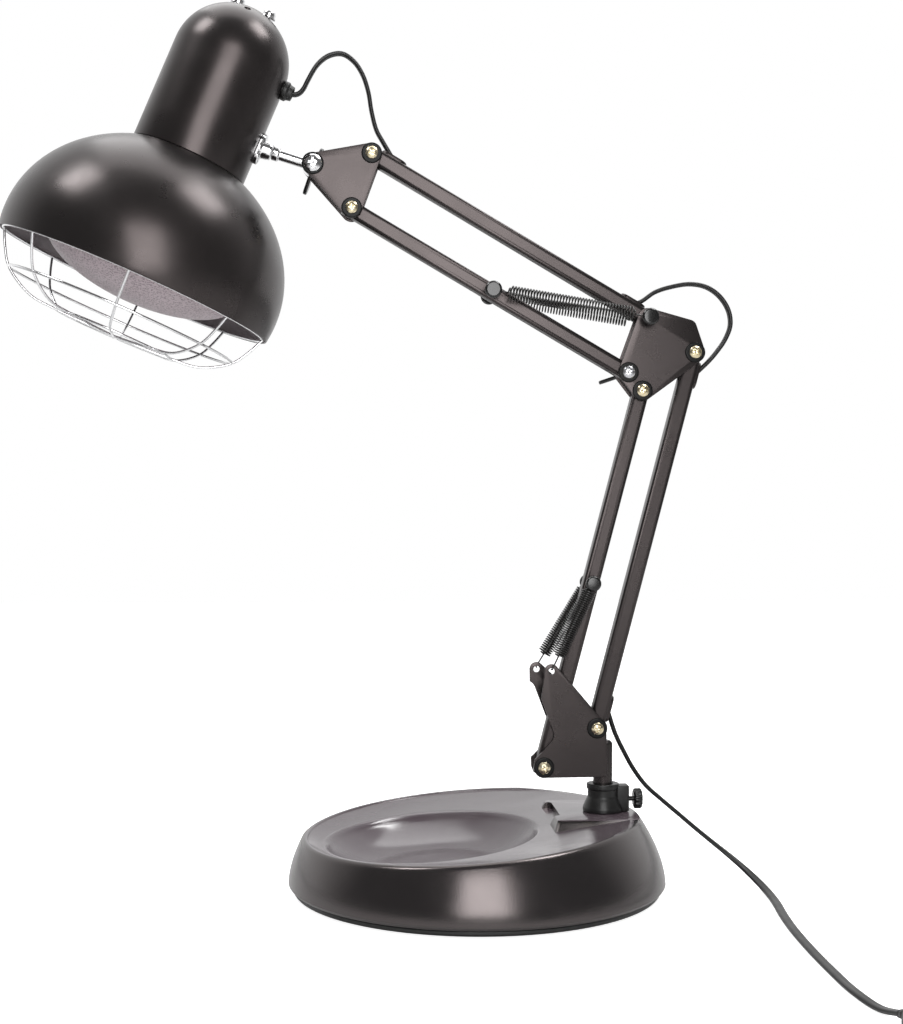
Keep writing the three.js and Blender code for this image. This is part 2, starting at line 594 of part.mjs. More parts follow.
function addSpring(name, from, to, size, hook) {
  add(name, wound(springRoute(from, to, size, hook), size.wire / 2, size.wire / 2, curlSides), 'satinBlack', arms);
}

const inPlane = (at, y) => new THREE.Vector3(at[0], y, at[1]);
for (const [end, side] of [['front', -1], ['rear', 1]]) {
  const seat = pin.shaft + fit.gap;
  const upperFrom = inPlane(upperPivot, side * upperSpring.offset);
  const upperTo = inPlane(upperPinAt, side * upperSpring.offset);
  const upperWay = upperTo.clone().sub(upperFrom).normalize();
  addSpring(
    `upper_spring_${end}`, upperFrom.addScaledVector(upperWay, seat), upperTo.addScaledVector(upperWay, -seat),
    upperSpring);
  const ear = plus(earAt(end), [0, lowerPlate.earHole - lowerSpring.wire / 2 - fit.gap]);
  const lowerFrom = inPlane(lowerPinAt, side * lowerSpring.offset);
  const lowerTo = inPlane(ear, side * lowerSpring.offset);
  const lowerWay = lowerTo.clone().sub(lowerFrom).normalize();
  addSpring(`lower_spring_${end}`, lowerFrom.addScaledVector(lowerWay, seat), lowerTo, lowerSpring, [
    inPlane(ear, side * (wideFace + lowerSpring.wire / 2 + fit.gap)), inPlane(ear, side * cheek.wideGap / 2),
  ]);
}

// Stem from the clamp to the head. Its group points from the clamp to the saddle.
const stemGroup = new THREE.Group();
stemGroup.position.set(clampPivot[0], 0, clampPivot[1]);
stemGroup.rotation.y = rad(stem.dropAngle - 180);
arms.add(stemGroup);
const bossEnd = saddle.thickness + saddle.bossLength + fit.gap;
const stemEnd = stem.length - bossEnd - fit.gap;
add('head_stem', cut(
  joined(rodY(stem.eye, -stem.eyeWidth / 2, stem.eyeWidth / 2, 16), rodX(stem.radius, 0, stemEnd)),
  rodY(bolt.shaft + fit.gap, -stem.eyeWidth, stem.eyeWidth),
), 'chrome', stemGroup);

// Head: its group stands on the neck of the shade, with +Z up the socket cup and +X towards the stem.
const headGroup = new THREE.Group();
const saddleAt = plus(clampPivot, along(180 - stem.dropAngle, stem.length));
const neckAt = plus(
  saddleAt, plus(along(180 - head.tiltAngle, cup.radius), along(270 - head.tiltAngle, saddle.height)));
headGroup.position.set(neckAt[0], 0, neckAt[1]);
headGroup.rotation.y = rad(head.tiltAngle);
arms.add(headGroup);

function saddlePiece() {
  const inner = cup.radius + fit.gap;
  const plate = block(
    saddle.thickness * 2, saddle.width, saddle.length, inner, 0, saddle.height);
  const boss = rodX(saddle.boss, -saddle.thickness, bossEnd).rotateY(rad(stem.dropAngle - head.tiltAngle));
  const hollow = rodZ(inner, 0, cup.height, cup.segments * 2);
  return cut(joined(plate, boss.translate(cup.radius, 0, saddle.height)), hollow);
}

const domeHeights = [90, 68, 45, 22, 0];

function socketCup() {
  const dome = (radius) => domeHeights.map((angle) => {
    const [r, z] = along(angle, radius);
    return [Math.max(r, 0), cup.height + z];
  });
  const inner = dome(cup.radius - cup.wall);
  const outer = dome(cup.radius).reverse();
  inner[0][0] = 0;
  outer[outer.length - 1][0] = 0;
  const bell = turnedZ([
    ...inner, [cup.radius - cup.wall, fit.gap], [cup.radius, fit.gap], ...outer], cup.segments);
  const vents = Array.from({ length: cup.vents }, (_, i) => {
    const [x, y] = along(360 * (i + 0.5) / cup.vents, cup.ventRing);
    return rodZ(cup.ventRadius, cup.height, cup.height + cup.radius, 8).translate(x, y, 0);
  });
  const screws = [1, -1].map((side) => (
    rodZ(domeScrew.shaft + fit.gap, cup.height, cup.height + cup.radius + fit.overrun, 10)
      .translate(side * domeScrew.spread, 0, 0)));
  const grommet = rodX(gland.neck + fit.gap, cup.radius / 2, cup.radius + fit.overrun, 14);
  return cut(bell, ...vents, ...screws, grommet.translate(0, 0, gland.height));
}

const shadeNeck = cup.radius + cup.wall / 2;
const bellyHeight = shade.bellyLift - shade.rimDepth;
const shadeRise = -bellyHeight / Math.sqrt(1 - (shadeNeck / shade.radius) ** 2);
const rimAngle = -Math.asin(shade.bellyLift / shadeRise);
const neckAngle = Math.acos(shadeNeck / shade.radius);

function shadeWall(inset) {
  return Array.from({ length: shade.rings + 1 }, (_, i) => {
    const angle = rimAngle + (neckAngle - rimAngle) * i / shade.rings;
    return [
      (shade.radius - inset) * Math.cos(angle), bellyHeight + (shadeRise - inset) * Math.sin(angle)];
  });
}

function shadePiece() {
  const outer = shadeWall(0);
  const inner = shadeWall(shade.wall).reverse();
  const neck = [[shade.throat, 0], [shade.throat, -shade.wall]];
  return turnedZ([...outer, ...neck, ...inner, outer[0]], shade.segments);
}

// Wire guard: a rim ring, two lower rings and wires that run right across below the bulb.
function guardPiece() {
  const rimRadius = shadeWall(shade.wall)[0][0] * Math.cos(Math.PI / shade.segments) - guard.wire - fit.gap;
  const sections = Array.from({ length: guard.sides + 1 }, (_, i) => along(360 * i / guard.sides, guard.wire));
  const ring = (radius, height) => turnedZ(sections.map(([r, z]) => [radius + r, height + z]), guard.segments);
  const midHeight = -shade.rimDepth - guard.midDrop;
  const lowHeight = -shade.rimDepth - guard.lowDrop;
  const bend = (guard.midRadius + guard.lowRadius) / 2;
  const half = [
    [rimRadius, -shade.rimDepth],
    [(rimRadius + guard.midRadius) / 2 + guard.wire, (midHeight - shade.rimDepth) / 2],
    [guard.midRadius, midHeight], [bend, lowHeight + guard.wire * 2], [guard.lowRadius, lowHeight],
  ];
  const section = new THREE.Shape(sections.slice(0, -1).map(([x, y]) => new THREE.Vector2(x, y)));
  const wires = Array.from({ length: guard.wires }, (_, i) => {
    const points = [
      ...half, [0, lowHeight - guard.wire], ...half.map(([r, z]) => [-r, z]).reverse(),
    ].map(([r, z]) => new THREE.Vector3(r, 0, z));
    const extrudePath = new THREE.CatmullRomCurve3(points);
    const options = { steps: guard.steps, extrudePath, bevelEnabled: false };
    return new THREE.ExtrudeGeometry(section, options).rotateZ(rad(guard.turnAngle + 180 * i / guard.wires));
  });
  return joined(
    ring(rimRadius, -shade.rimDepth), ring(guard.midRadius, midHeight), ring(guard.lowRadius, lowHeight),
    ...wires);
}

// Bulb: thin frosted glass, open through the contact end of its screw cap.
const lensAngles = [0, 30, 60, 90];
const bulbFace = -shade.rimDepth - bulb.faceDrop;
const bulbBelly = bulbFace + bulb.bellyLift;

function bulbWall(inset) {
  const lens = lensAngles.map((angle) => [
    (bulb.radius - inset) * Math.sin(rad(angle)),
    bulbBelly - (bulb.bellyLift - inset) * Math.cos(rad(angle))]);
  const shares = [0.25, 0.5, 0.75, 1];
  const cone = shares.map((share) => [
    bulb.neckRadius - inset + (bulb.radius - bulb.neckRadius) * (1 + Math.cos(Math.PI * share)) / 2,
    bulbBelly + (bulb.neckHeight - bulbBelly) * share]);
  return [...lens, ...cone, [bulb.cap - inset, bulb.neckHeight + bulb.neckRadius - bulb.cap]];
}

function bulbPiece() {
  const shoulder = bulb.capTop - bulb.cap / 3;
  const end = [
    [bulb.cap, shoulder], [bulb.cap / 3, bulb.capTop], [bulb.vent, bulb.capTop],
    [bulb.vent, bulb.capTop - 2 * bulb.wall], [bulb.cap - bulb.wall, shoulder - bulb.wall],
  ];
  return turnedZ([...bulbWall(0), ...end, ...bulbWall(bulb.wall).reverse()], bulb.segments);
}

const screwSeat = cup.height + fit.gap
  + Math.sqrt(cup.radius ** 2 - (domeScrew.spread - domeScrew.head) ** 2);

function lampholder() {
  const bore = bulb.cap + fit.gap;
  const body = turnedZ([
    [0, holder.boreTop], [bore, holder.boreTop], [bore, holder.bottom], [holder.radius, holder.bottom],
    [holder.radius, holder.top], [0, holder.top],
  ], holder.segments);
  const drills = [1, -1].map((side) => (
    rodZ(domeScrew.shaft + fit.gap, screwSeat - domeScrew.length - fit.gap, holder.top + fit.overrun, 10)
      .translate(side * domeScrew.spread, 0, 0)));
  return cut(body, ...drills);
}

add('saddle', saddlePiece(), 'chrome', headGroup);
add('socket_cup', socketCup(), 'satinBlack', headGroup);
add('lampholder', lampholder(), 'porcelain', headGroup);
add('shade', shadePiece(), 'satinBlack', headGroup);
add('guard', guardPiece(), 'chrome', headGroup);
add('bulb', bulbPiece(), 'frosted', headGroup);
for (const [index, side] of [1, -1].entries()) {
  add(`dome_screw_${index + 1}`, turnedZ([
    [0, -domeScrew.length], [domeScrew.shaft, -domeScrew.length], [domeScrew.shaft, 0], [domeScrew.head, 0],
    [domeScrew.head, domeScrew.headHeight - domeScrew.crown], [domeScrew.head / 2, domeScrew.headHeight],
    [0, domeScrew.headHeight],
  ], 12), 'chrome', headGroup, side * domeScrew.spread, 0, screwSeat);
}

const glandFace = cup.radius + fit.gap;
const glandRoot = cup.radius - cup.wall * 2;
add('lead_gland', turnedX([
  [gland.bore, glandRoot], [gland.neck, glandRoot], [gland.neck, glandFace], [gland.radius, glandFace],
  [gland.radius, glandFace + gland.length / 2], [gland.neck, glandFace + gland.length],
  [gland.bore, glandFace + gland.length], [gland.bore, glandRoot],
], 12), 'rubber', headGroup, 0, 0, gland.height);

// Supply lead: flat twin flex, hidden in the tubes and free where it loops past each bracket.
const yAxis = new THREE.Vector3(0, 1, 0);
const zAxis = new THREE.Vector3(0, 0, 1);
const flatOnFloor = (tangent) => new THREE.Vector3().crossVectors(tangent, zAxis);

function addStretches(names, points, stops, steps, parent, sideAt) {
  const curve = new THREE.CatmullRomCurve3(points, false, 'centripetal');
  const lengths = curve.getLengths((points.length - 1) * flex.samples);
  const whole = lengths[lengths.length - 1];
  curve.arcLengthDivisions = lengths.length - 1;
  curve.updateArcLengths();
  names.forEach((name, part) => {
    const from = (lengths[stops[part] * flex.samples] + flex.parting / 2) / whole;
    const to = (lengths[stops[part + 1] * flex.samples] - flex.parting / 2) / whole;
    const count = steps[part];
    const stretch = Array.from(
      { length: count + 1 }, (_, i) => curve.getPointAt(from + (to - from) * i / count));
    add(name, wound(stretch, flex.width / 2, flex.thickness / 2, flex.sides, sideAt), 'rubber', parent);
  });
  return whole;
}

function addInnerLead(name, pivot, angle, length) {
  const inset = along(angle - 90, flex.inset);
  const ends = [flex.innerStart, length - flex.innerStart]
    .map((at) => inPlane(plus(plus(pivot, inset), along(angle, at)), 0));
  add(name, wound(ends, flex.width / 2, flex.thickness / 2, flex.sides, () => yAxis), 'rubber', arms);
}

addStretches(
  ['head_lead_1', 'head_lead_2', 'head_lead_3'], headRoute.map((at) => inPlane(at, 0)), headStops, headSteps, arms,
  () => yAxis);
addStretches(
  ['elbow_lead_1', 'elbow_lead_2'], elbowRoute.map((at) => inPlane(at, 0)), elbowStops, elbowSteps, arms, () => yAxis);
addInnerLead('lower_inner_lead', rearPivot, lower.leanAngle, lower.length);
addInnerLead('upper_inner_lead', upperPivot, upper.leanAngle, upper.length);

const handEnd = hand.y + hand.length / 2 + fit.gap / 2;
const mainsPoints = [...mainsRoute, [hand.x, handEnd, hand.entry]]
  .map(([x, y, z]) => new THREE.Vector3(x, y, z));
const mainsLength = addStretches(
  ['mains_lead_1', 'mains_lead_2', 'mains_lead_3'], mainsPoints, mainsStops, mainsSteps, lamp, flatOnFloor);

// Spare lead wound in a flat two-layer coil that stands the flex on edge, with a tail at each end.
const eased = (share) => share * share * (3 - 2 * share);

function coilRoute() {
  const outer = coil.radius + coil.pitch * coil.loopsPerLayer / 2;
  const bottom = flex.width / 2 + coil.lift;
  const loops = 2 * coil.loopsPerLayer;
  const turns = Array.from({ length: loops * coil.steps + 1 }, (_, i) => {
    const loop = i / coil.steps;
    const radius = outer - coil.pitch * (coil.loopsPerLayer - Math.abs(loop - coil.loopsPerLayer));
    const climbed = (loop - coil.loopsPerLayer + coil.climb) / (2 * coil.climb);
    const height = bottom + coil.layer * eased(Math.min(Math.max(climbed, 0), 1));
    const angle = -2 * Math.PI * loop;
    return new THREE.Vector3(coil.x + radius * Math.cos(angle), coil.y + radius * Math.sin(angle), height);
  });
  const start = new THREE.Vector3(hand.x, hand.y - hand.length / 2 - fit.gap, hand.entry);
  const entry = Array.from({ length: coil.tailSteps }, (_, i) => {
    const share = i / coil.tailSteps;
    const at = start.clone().lerp(turns[0], share);
    at.z = start.z + (turns[0].z - start.z) * eased(share);
    return at;
  });
  const end = new THREE.Vector3(plug.x + fit.gap, plug.y, plug.height / 2);
  const route = [...turns.slice(-2), ...coilExit.map(([x, y, z]) => new THREE.Vector3(x, y, z)), end];
  const leaving = new THREE.CatmullRomCurve3(route, false, 'centripetal');
  const held = 1 / (route.length - 1);
  const exit = Array.from({ length: coil.tailSteps }, (_, i) => (
    leaving.getPoint(held + (1 - held) * (i + 1) / coil.tailSteps)));
  const gaps = turns.slice(coil.steps).map((point, i) => point.distanceTo(turns[i]) - flex.thickness);
  console.log(`least gap between cord loops ${Math.min(...gaps).toFixed(2)} mm`);
  return { points: [...entry, ...turns, ...exit], turned: [entry.length, turns.length] };
}

const coiled = coilRoute();
const coilLength = coiled.points.slice(1)
  .reduce((sum, point, i) => sum + point.distanceTo(coiled.points[i]), 0);
console.log(`mains lead ${Math.round(mainsLength + coilLength)} mm`);
const rollAt = (i) => {
  const [before, turns] = coiled.turned;
  const last = coiled.points.length - 1;
  const share = i < before ? i / before : Math.min((last - i) / (last - before - turns + 1), 1);
  return rad(90) * eased(Math.max(share, 0));
};
add('mains_coil', wound(coiled.points, flex.width / 2, flex.thickness / 2, coil.sides, (tangent, i) => (
  flatOnFloor(tangent).normalize().multiplyScalar(Math.cos(rollAt(i)))
    .addScaledVector(zAxis, Math.sin(rollAt(i)))
)), 'rubber');

// In-line hand switch on the floor: rounded housing with a rocker across its hinge pin.
function roundedBar(sizeX, sizeY, height, corner, bevel) {
  const [x, y] = [sizeX / 2 - corner, sizeY / 2 - corner];
  const corners = [[x, y], [-x, y], [-x, -y], [x, -y]];
  const outline = belted(corners.map((at) => [...at, corner - bevel]), 6);
  const options = {
    depth: height - 2 * bevel, bevelThickness: bevel, bevelSize: bevel, bevelSegments: 2, curveSegments: 1,
  };
  return new THREE.ExtrudeGeometry(outline, options).translate(0, 0, bevel);
}

const rockerCentre = hand.height - hand.pivotDrop;
const housing = roundedBar(hand.width, hand.length, hand.height, hand.corner, hand.bevel);
const well = block(
  hand.rockerWidth + 2 * fit.gap, hand.rockerLength + 2 * hand.room, hand.depth * 2, 0, 0, hand.height);
add('switch_housing', cut(housing, well), 'rubber', lamp, hand.x, hand.y);

function rockerPiece() {
  const half = hand.rockerLength / 2;
  const top = hand.pivotDrop;
  const outline = new THREE.Shape([
    [-half, -hand.rockerBody], [half, -hand.rockerBody], [half, top + hand.rockerRise],
    [0, top + hand.rockerRise / 4], [-half, top],
  ].map(([x, y]) => new THREE.Vector2(x, y)));
  const options = { depth: hand.rockerWidth, bevelEnabled: false };
  const bar = new THREE.ExtrudeGeometry(outline, options).translate(0, 0, -hand.rockerWidth / 2);
  return bar.rotateX(rad(90)).rotateZ(rad(90));
}

add('switch_rocker', rockerPiece(), 'gloss', lamp, hand.x, hand.y, rockerCentre);

// Two-pin plug that lies on the floor at the end of the coil, blades towards -X.
function plugPiece() {
  const body = roundedBar(plug.height, plug.width, plug.length - plug.neckLength, plug.corner, hand.bevel);
  const neck = roundedBar(plug.neckHeight, plug.neckWidth, plug.length, plug.corner, hand.bevel);
  const pockets = [1, -1].map((side) => block(
    blade.width + 2 * fit.gap, blade.thickness + 2 * fit.gap, 2 * blade.seat + 2 * fit.gap,
    0, side * blade.spacing / 2));
  return cut(joined(body, neck), ...pockets).rotateY(rad(90));
}

const plugFace = plug.x - plug.length;
add('plug_body', plugPiece(), 'rubber', lamp, plugFace, plug.y, plug.height / 2);
for (const [index, side] of [1, -1].entries()) {
  const whole = blade.length + blade.seat;
  add(`plug_blade_${index + 1}`, block(
    whole, blade.thickness, blade.width, plugFace + blade.seat - whole / 2, plug.y + side * blade.spacing / 2,
    plug.height / 2,
  ), 'brass');
}

export default lamp;
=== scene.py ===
"""Infrared heat lamp on a sprung two-part arm: the looks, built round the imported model.

Lengths are written in millimetres and become metres where a mesh is made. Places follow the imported
model's frame: +Z up, origin on the table under the base, head towards -X, arm plane at y = 7.
"""
import math

import bmesh
import bpy
import numpy as np
from bpy.props import FloatProperty, FloatVectorProperty, IntProperty, PointerProperty
from mathutils import Matrix


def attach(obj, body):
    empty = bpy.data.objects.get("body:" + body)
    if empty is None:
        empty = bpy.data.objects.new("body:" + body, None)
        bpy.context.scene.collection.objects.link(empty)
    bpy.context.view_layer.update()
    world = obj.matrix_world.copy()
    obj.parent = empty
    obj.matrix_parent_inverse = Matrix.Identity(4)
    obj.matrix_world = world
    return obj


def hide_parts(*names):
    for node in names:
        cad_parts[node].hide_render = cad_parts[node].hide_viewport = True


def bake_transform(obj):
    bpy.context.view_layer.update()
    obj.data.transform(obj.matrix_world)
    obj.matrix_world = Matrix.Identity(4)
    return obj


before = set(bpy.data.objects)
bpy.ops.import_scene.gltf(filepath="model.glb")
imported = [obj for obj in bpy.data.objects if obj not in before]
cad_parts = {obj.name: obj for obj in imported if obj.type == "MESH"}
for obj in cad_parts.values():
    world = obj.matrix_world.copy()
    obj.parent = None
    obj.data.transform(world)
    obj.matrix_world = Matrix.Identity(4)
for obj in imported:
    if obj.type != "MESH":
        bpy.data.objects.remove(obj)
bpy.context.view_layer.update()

bl_info = {
    "name": "Heat Lamp on a Sprung Arm",
    "version": (1, 0, 0),
    "blender": (4, 5, 0),
    "location": "3D View > Sidebar > Heat Lamp",
    "description": "Builds a black heat lamp with a wire guard, sprung arms, weighted base and mains lead",
    "category": "Add Mesh",
}

MM = 0.001
TAU = 2 * math.pi
Y_AXIS = np.array([0.0, 1.0, 0.0])
Z_AXIS = np.array([0.0, 0.0, 1.0])

# Places in the plane of the arms, as x and z, worked out from the same sizes as the model.
ARM_Y = 7.0
POST_X = 79.8
LOWER_LEAN, LOWER_LENGTH = 75.2, 242.0
UPPER_LEAN, UPPER_LENGTH = 149.8, 199.0
STEM_DROP, HEAD_TILT = 17.0, 22.9


def along(angle, length):
    """A step of that length at that angle, in degrees, as x and z."""
    return np.array([math.cos(math.radians(angle)), math.sin(math.radians(angle))]) * length


REAR_PIVOT = np.array([POST_X - 4.8, 99.6])
FRONT_PIVOT = REAR_PIVOT + along(216, 41)
REAR_TOP = REAR_PIVOT + along(LOWER_LEAN, LOWER_LENGTH)
FRONT_TOP = FRONT_PIVOT + along(LOWER_LEAN, LOWER_LENGTH)
UPPER_PIVOT = REAR_TOP + np.array([-29.6, 21.1])
LOW_PIVOT = UPPER_PIVOT + along(250, 36)
HEAD_TOP = UPPER_PIVOT + along(UPPER_LEAN, UPPER_LENGTH)
HEAD_LOW = LOW_PIVOT + along(UPPER_LEAN, UPPER_LENGTH)
CLAMP = HEAD_TOP + np.array([-36.2, -6.9])
LOWER_PIN = FRONT_PIVOT + along(LOWER_LEAN, 118)
UPPER_PIN = LOW_PIVOT + along(UPPER_LEAN, 98.6)
EAR = {-1: FRONT_PIVOT + np.array([4.7, 59.7]), 1: FRONT_PIVOT + np.array([-2.9, 59.7])}
SADDLE = CLAMP + along(180 - STEM_DROP, 35)
NECK = SADDLE + along(180 - HEAD_TILT, 36) + along(270 - HEAD_TILT, 25)
WIDE_FACE, NARROW_FACE = 7.8, 7.0


# Shapes: every function returns points as whole arrays in millimetres.

def place(turn_y=0.0, at=(0.0, 0.0, 0.0), turn_x=0.0, turn_z=0.0):
    """Matrix that turns about X, then Y, then Z, in degrees, and moves to a place."""
    turned = Matrix.Rotation(math.radians(turn_z), 4, "Z") @ Matrix.Rotation(math.radians(turn_y), 4, "Y")
    turned = turned @ Matrix.Rotation(math.radians(turn_x), 4, "X")
    return np.array(Matrix.Translation(at) @ turned)


def in_arms(at, y=0.0):
    """A place in the plane of the arms as x, y and z."""
    return (at[0], ARM_Y + y, at[1])


HEAD = place(HEAD_TILT, in_arms(NECK))
STEM = place(STEM_DROP - 180, in_arms(CLAMP))
ACROSS = dict(turn_x=-90)


def moved(points, matrix):
    """Points taken through a 4 by 4 matrix."""
    return points @ matrix[:3, :3].T + matrix[:3, 3]


def rounded(profile, radius, steps=4):
    """Corners of an open profile eased: each becomes a quadratic curve between two points on its sides.

    The curve is (1-t)^2 A + 2t(1-t) P + t^2 B with A and B at most one radius away from the corner P.
    """
    profile = np.asarray(profile, float)
    before, corner, after = profile[:-2], profile[1:-1], profile[2:]
    into, out = before - corner, after - corner
    reach_in = np.linalg.norm(into, axis=1, keepdims=True)
    reach_out = np.linalg.norm(out, axis=1, keepdims=True)
    cut = np.minimum(np.broadcast_to(np.asarray(radius, float), len(corner))[:, None],
                     0.49 * np.minimum(reach_in, reach_out))
    start, end = corner + into / reach_in * cut, corner + out / reach_out * cut
    t = np.linspace(0, 1, steps + 1)[None, :, None]
    bends = (1 - t) ** 2 * start[:, None] + 2 * t * (1 - t) * corner[:, None] + t ** 2 * end[:, None]
    return np.vstack([profile[:1], bends.reshape(-1, profile.shape[1]), profile[-1:]])


def turned(profile, segments=64, wave=None):
    """Profile of radius and height spun round Z: (r cos a, r sin a, h), with r times a wave of the angle."""
    profile = np.asarray(profile, float)
    angle = np.linspace(0, TAU, segments, endpoint=False)
    radius = profile[:, :1] * (np.ones((1, segments)) if wave is None else wave(angle)[None, :])
    height = np.repeat(profile[:, 1:2], segments, axis=1)
    return np.stack([radius * np.cos(angle), radius * np.sin(angle), height], axis=-1)


def swept(path, side, section):
    """Section carried along a path: path + u side + v (tangent x side), for each of its points (u, v)."""
    tangent = np.gradient(path, axis=0)
    tangent /= np.linalg.norm(tangent, axis=1, keepdims=True)
    side = np.broadcast_to(side, path.shape)
    side = side - tangent * np.sum(side * tangent, axis=1, keepdims=True)
    side /= np.linalg.norm(side, axis=1, keepdims=True)
    rise = np.cross(tangent, side)
    section = np.asarray(section, float)
    if section.ndim == 2:
        section = np.broadcast_to(section, (len(path),) + section.shape)
    return path[:, None] + section[..., :1] * side[:, None] + section[..., 1:] * rise[:, None]


def oval(width, height, sides=12, power=2.0):
    """Closed oval |x/a|^p + |y/b|^p = 1, power 2 for an ellipse and more for a rounded box."""
    angle = np.linspace(0, TAU, sides, endpoint=False)
    c, s = np.cos(angle), np.sin(angle)
    bulge = (np.abs(c) ** power + np.abs(s) ** power) ** (-1 / power)
    return np.stack([width / 2 * bulge * c, height / 2 * bulge * s], axis=-1)


def eased(share):
    """Smooth step 3t^2 - 2t^3 of a share held between 0 and 1."""
    share = np.clip(share, 0, 1)
    return share * share * (3 - 2 * share)


def route(points, samples=20, stops=None):
    """Centripetal Catmull-Rom curve through the points, as the model's leads follow it.

    Each span is a cubic whose end slopes come from neighbours weighted by the root of their distance.
    """
    p = np.asarray(points, float)
    p = np.vstack([2 * p[0] - p[1], p, 2 * p[-1] - p[-2]])
    gap = np.sqrt(np.linalg.norm(np.diff(p, axis=0), axis=1))[:, None]
    d0, d1, d2 = gap[:-2], gap[1:-1], gap[2:]
    a, b, c, d = p[:-3], p[1:-2], p[2:-1], p[3:]
    slope_b = ((b - a) / d0 - (c - a) / (d0 + d1) + (c - b) / d1) * d1
    slope_c = ((c - b) / d1 - (d - b) / (d1 + d2) + (d - c) / d2) * d1
    t = np.linspace(0, 1, samples, endpoint=False)[None, :, None]
    b, c, slope_b, slope_c = b[:, None], c[:, None], slope_b[:, None], slope_c[:, None]
    cubic = (2 * t ** 3 - 3 * t ** 2 + 1) * b + (t ** 3 - 2 * t ** 2 + t) * slope_b
    cubic = cubic + (3 * t ** 2 - 2 * t ** 3) * c + (t ** 3 - t ** 2) * slope_c
    curve = np.vstack([cubic.reshape(-1, p.shape[1]), p[-2:-1]])
    return curve if stops is None else curve[stops[0] * samples:stops[1] * samples + 1]


def even(path, step):
    """The same path with its points spread evenly, about one step apart."""
    reach = np.concatenate([[0], np.cumsum(np.linalg.norm(np.diff(path, axis=0), axis=1))])
    count = max(2, int(round(reach[-1] / step)) + 1)
    at = np.linspace(0, reach[-1], count)
    return np.stack([np.interp(at, reach, path[:, axis]) for axis in range(3)], axis=-1)


def flat(points, y=0.0):
    """Points given as x and z in the plane of the arms, as x, y and z."""
    points = np.asarray(points, float)
    return np.stack([points[:, 0], np.full(len(points), ARM_Y + y), points[:, 1]], axis=-1)


# Meshes.

def quads(rows, columns, around, first=0):
    """Four-sided faces of a grid of points, joined round its second direction where that is closed."""
    i = np.arange(rows - 1)[:, None]
    j = np.arange(columns if around else columns - 1)[None, :]
    k = (j + 1) % columns
    corners = [i * columns + j, i * columns + k, (i + 1) * columns + k, (i + 1) * columns + j]
    return np.stack(np.broadcast_arrays(*corners), axis=-1).reshape(-1, 4) + first


def surface_map(grid):
    """Distance along and around a grid, in millimetres, as the two values of its surface map."""
    down = np.linalg.norm(np.diff(grid, axis=0), axis=-1).mean(axis=1)
    across = np.linalg.norm(np.diff(grid, axis=1), axis=-1).max(axis=0)
    rows, columns = np.concatenate([[0], np.cumsum(down)]), np.concatenate([[0], np.cumsum(across)])
    return np.stack(np.meshgrid(columns, rows), axis=-1)


def mesh_of(name, grids, around=True, capped=False, weld=2e-6):
    """Grids of points, each rows by columns by 3 in millimetres, as one mesh in metres."""
    points, faces, maps, caps, first = [], [], [], [], 0
    for grid in grids:
        rows, columns = grid.shape[:2]
        points.append(grid.reshape(-1, 3))
        maps.append(surface_map(grid).reshape(-1, 2))
        faces += quads(rows, columns, around, first).tolist()
        if capped:
            last = first + (rows - 1) * columns
            caps += [list(range(first + columns - 1, first - 1, -1)), list(range(last, last + columns))]
        first += rows * columns
    mesh = bpy.data.meshes.new(name)
    mesh.from_pydata(np.concatenate(points) * MM, [], faces + caps)
    layer = mesh.uv_layers.new(name="surface")
    corner = np.empty(len(mesh.loops), dtype=np.int32)
    mesh.loops.foreach_get("vertex_index", corner)
    layer.data.foreach_set("uv", (np.concatenate(maps)[corner] * MM).ravel().astype(np.float32))
    welded(mesh, weld)
    return mesh


def welded(mesh, distance):
    """Points closer than a distance become one, so that seams and poles are closed."""
    work = bmesh.new()
    work.from_mesh(mesh)
    bmesh.ops.remove_doubles(work, verts=work.verts, dist=distance)
    bmesh.ops.dissolve_degenerate(work, edges=work.edges, dist=distance)
    work.to_mesh(mesh)
    work.free()


def joined_mesh(first, second):
    """Two meshes as one, with points that meet made one."""
    work = bmesh.new()
    work.from_mesh(first)
    work.from_mesh(second)
    bmesh.ops.remove_doubles(work, verts=work.verts, dist=2e-6)
    work.to_mesh(first)
    work.free()
    bpy.data.meshes.remove(second)
    return first


def shown(name, mesh, material, crease=38):
    """Object at the origin with smooth faces that break where they meet at more than an angle."""
    made = bpy.data.objects.new(name, mesh)
    bpy.context.scene.collection.objects.link(made)
    mesh.polygons.foreach_set("use_smooth", np.ones(len(mesh.polygons), dtype=bool))
    mesh.set_sharp_from_angle(angle=math.radians(crease))
    mesh.materials.clear()
    mesh.materials.append(material)
    return made


def piece(name, form, body, key, nodes=(), crease=38, capped=False):
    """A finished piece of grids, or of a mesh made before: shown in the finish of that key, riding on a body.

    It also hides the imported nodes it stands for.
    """
    mesh = form if isinstance(form, bpy.types.Mesh) else mesh_of(name, form, capped=capped)
    made = shown(name, mesh, dressed(key), crease)
    settle(made, body, nodes)
    return made


def settle(made, body, nodes=()):
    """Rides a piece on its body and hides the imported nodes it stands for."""
    if body:
        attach(made, body)
    if nodes:
        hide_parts(*nodes)


def bored(made, tools, crease=38):
    """Closed tools are cut out of a piece, and the outcome is kept as its mesh."""
    for tool in tools:
        cut = made.modifiers.new("cut", "BOOLEAN")
        cut.operation = "DIFFERENCE"
        cut.solver = "EXACT"
        cut.object = tool
    kept_as_mesh(made, crease)
    for tool in tools:
        mesh = tool.data
        bpy.data.objects.remove(tool)
        bpy.data.meshes.remove(mesh)


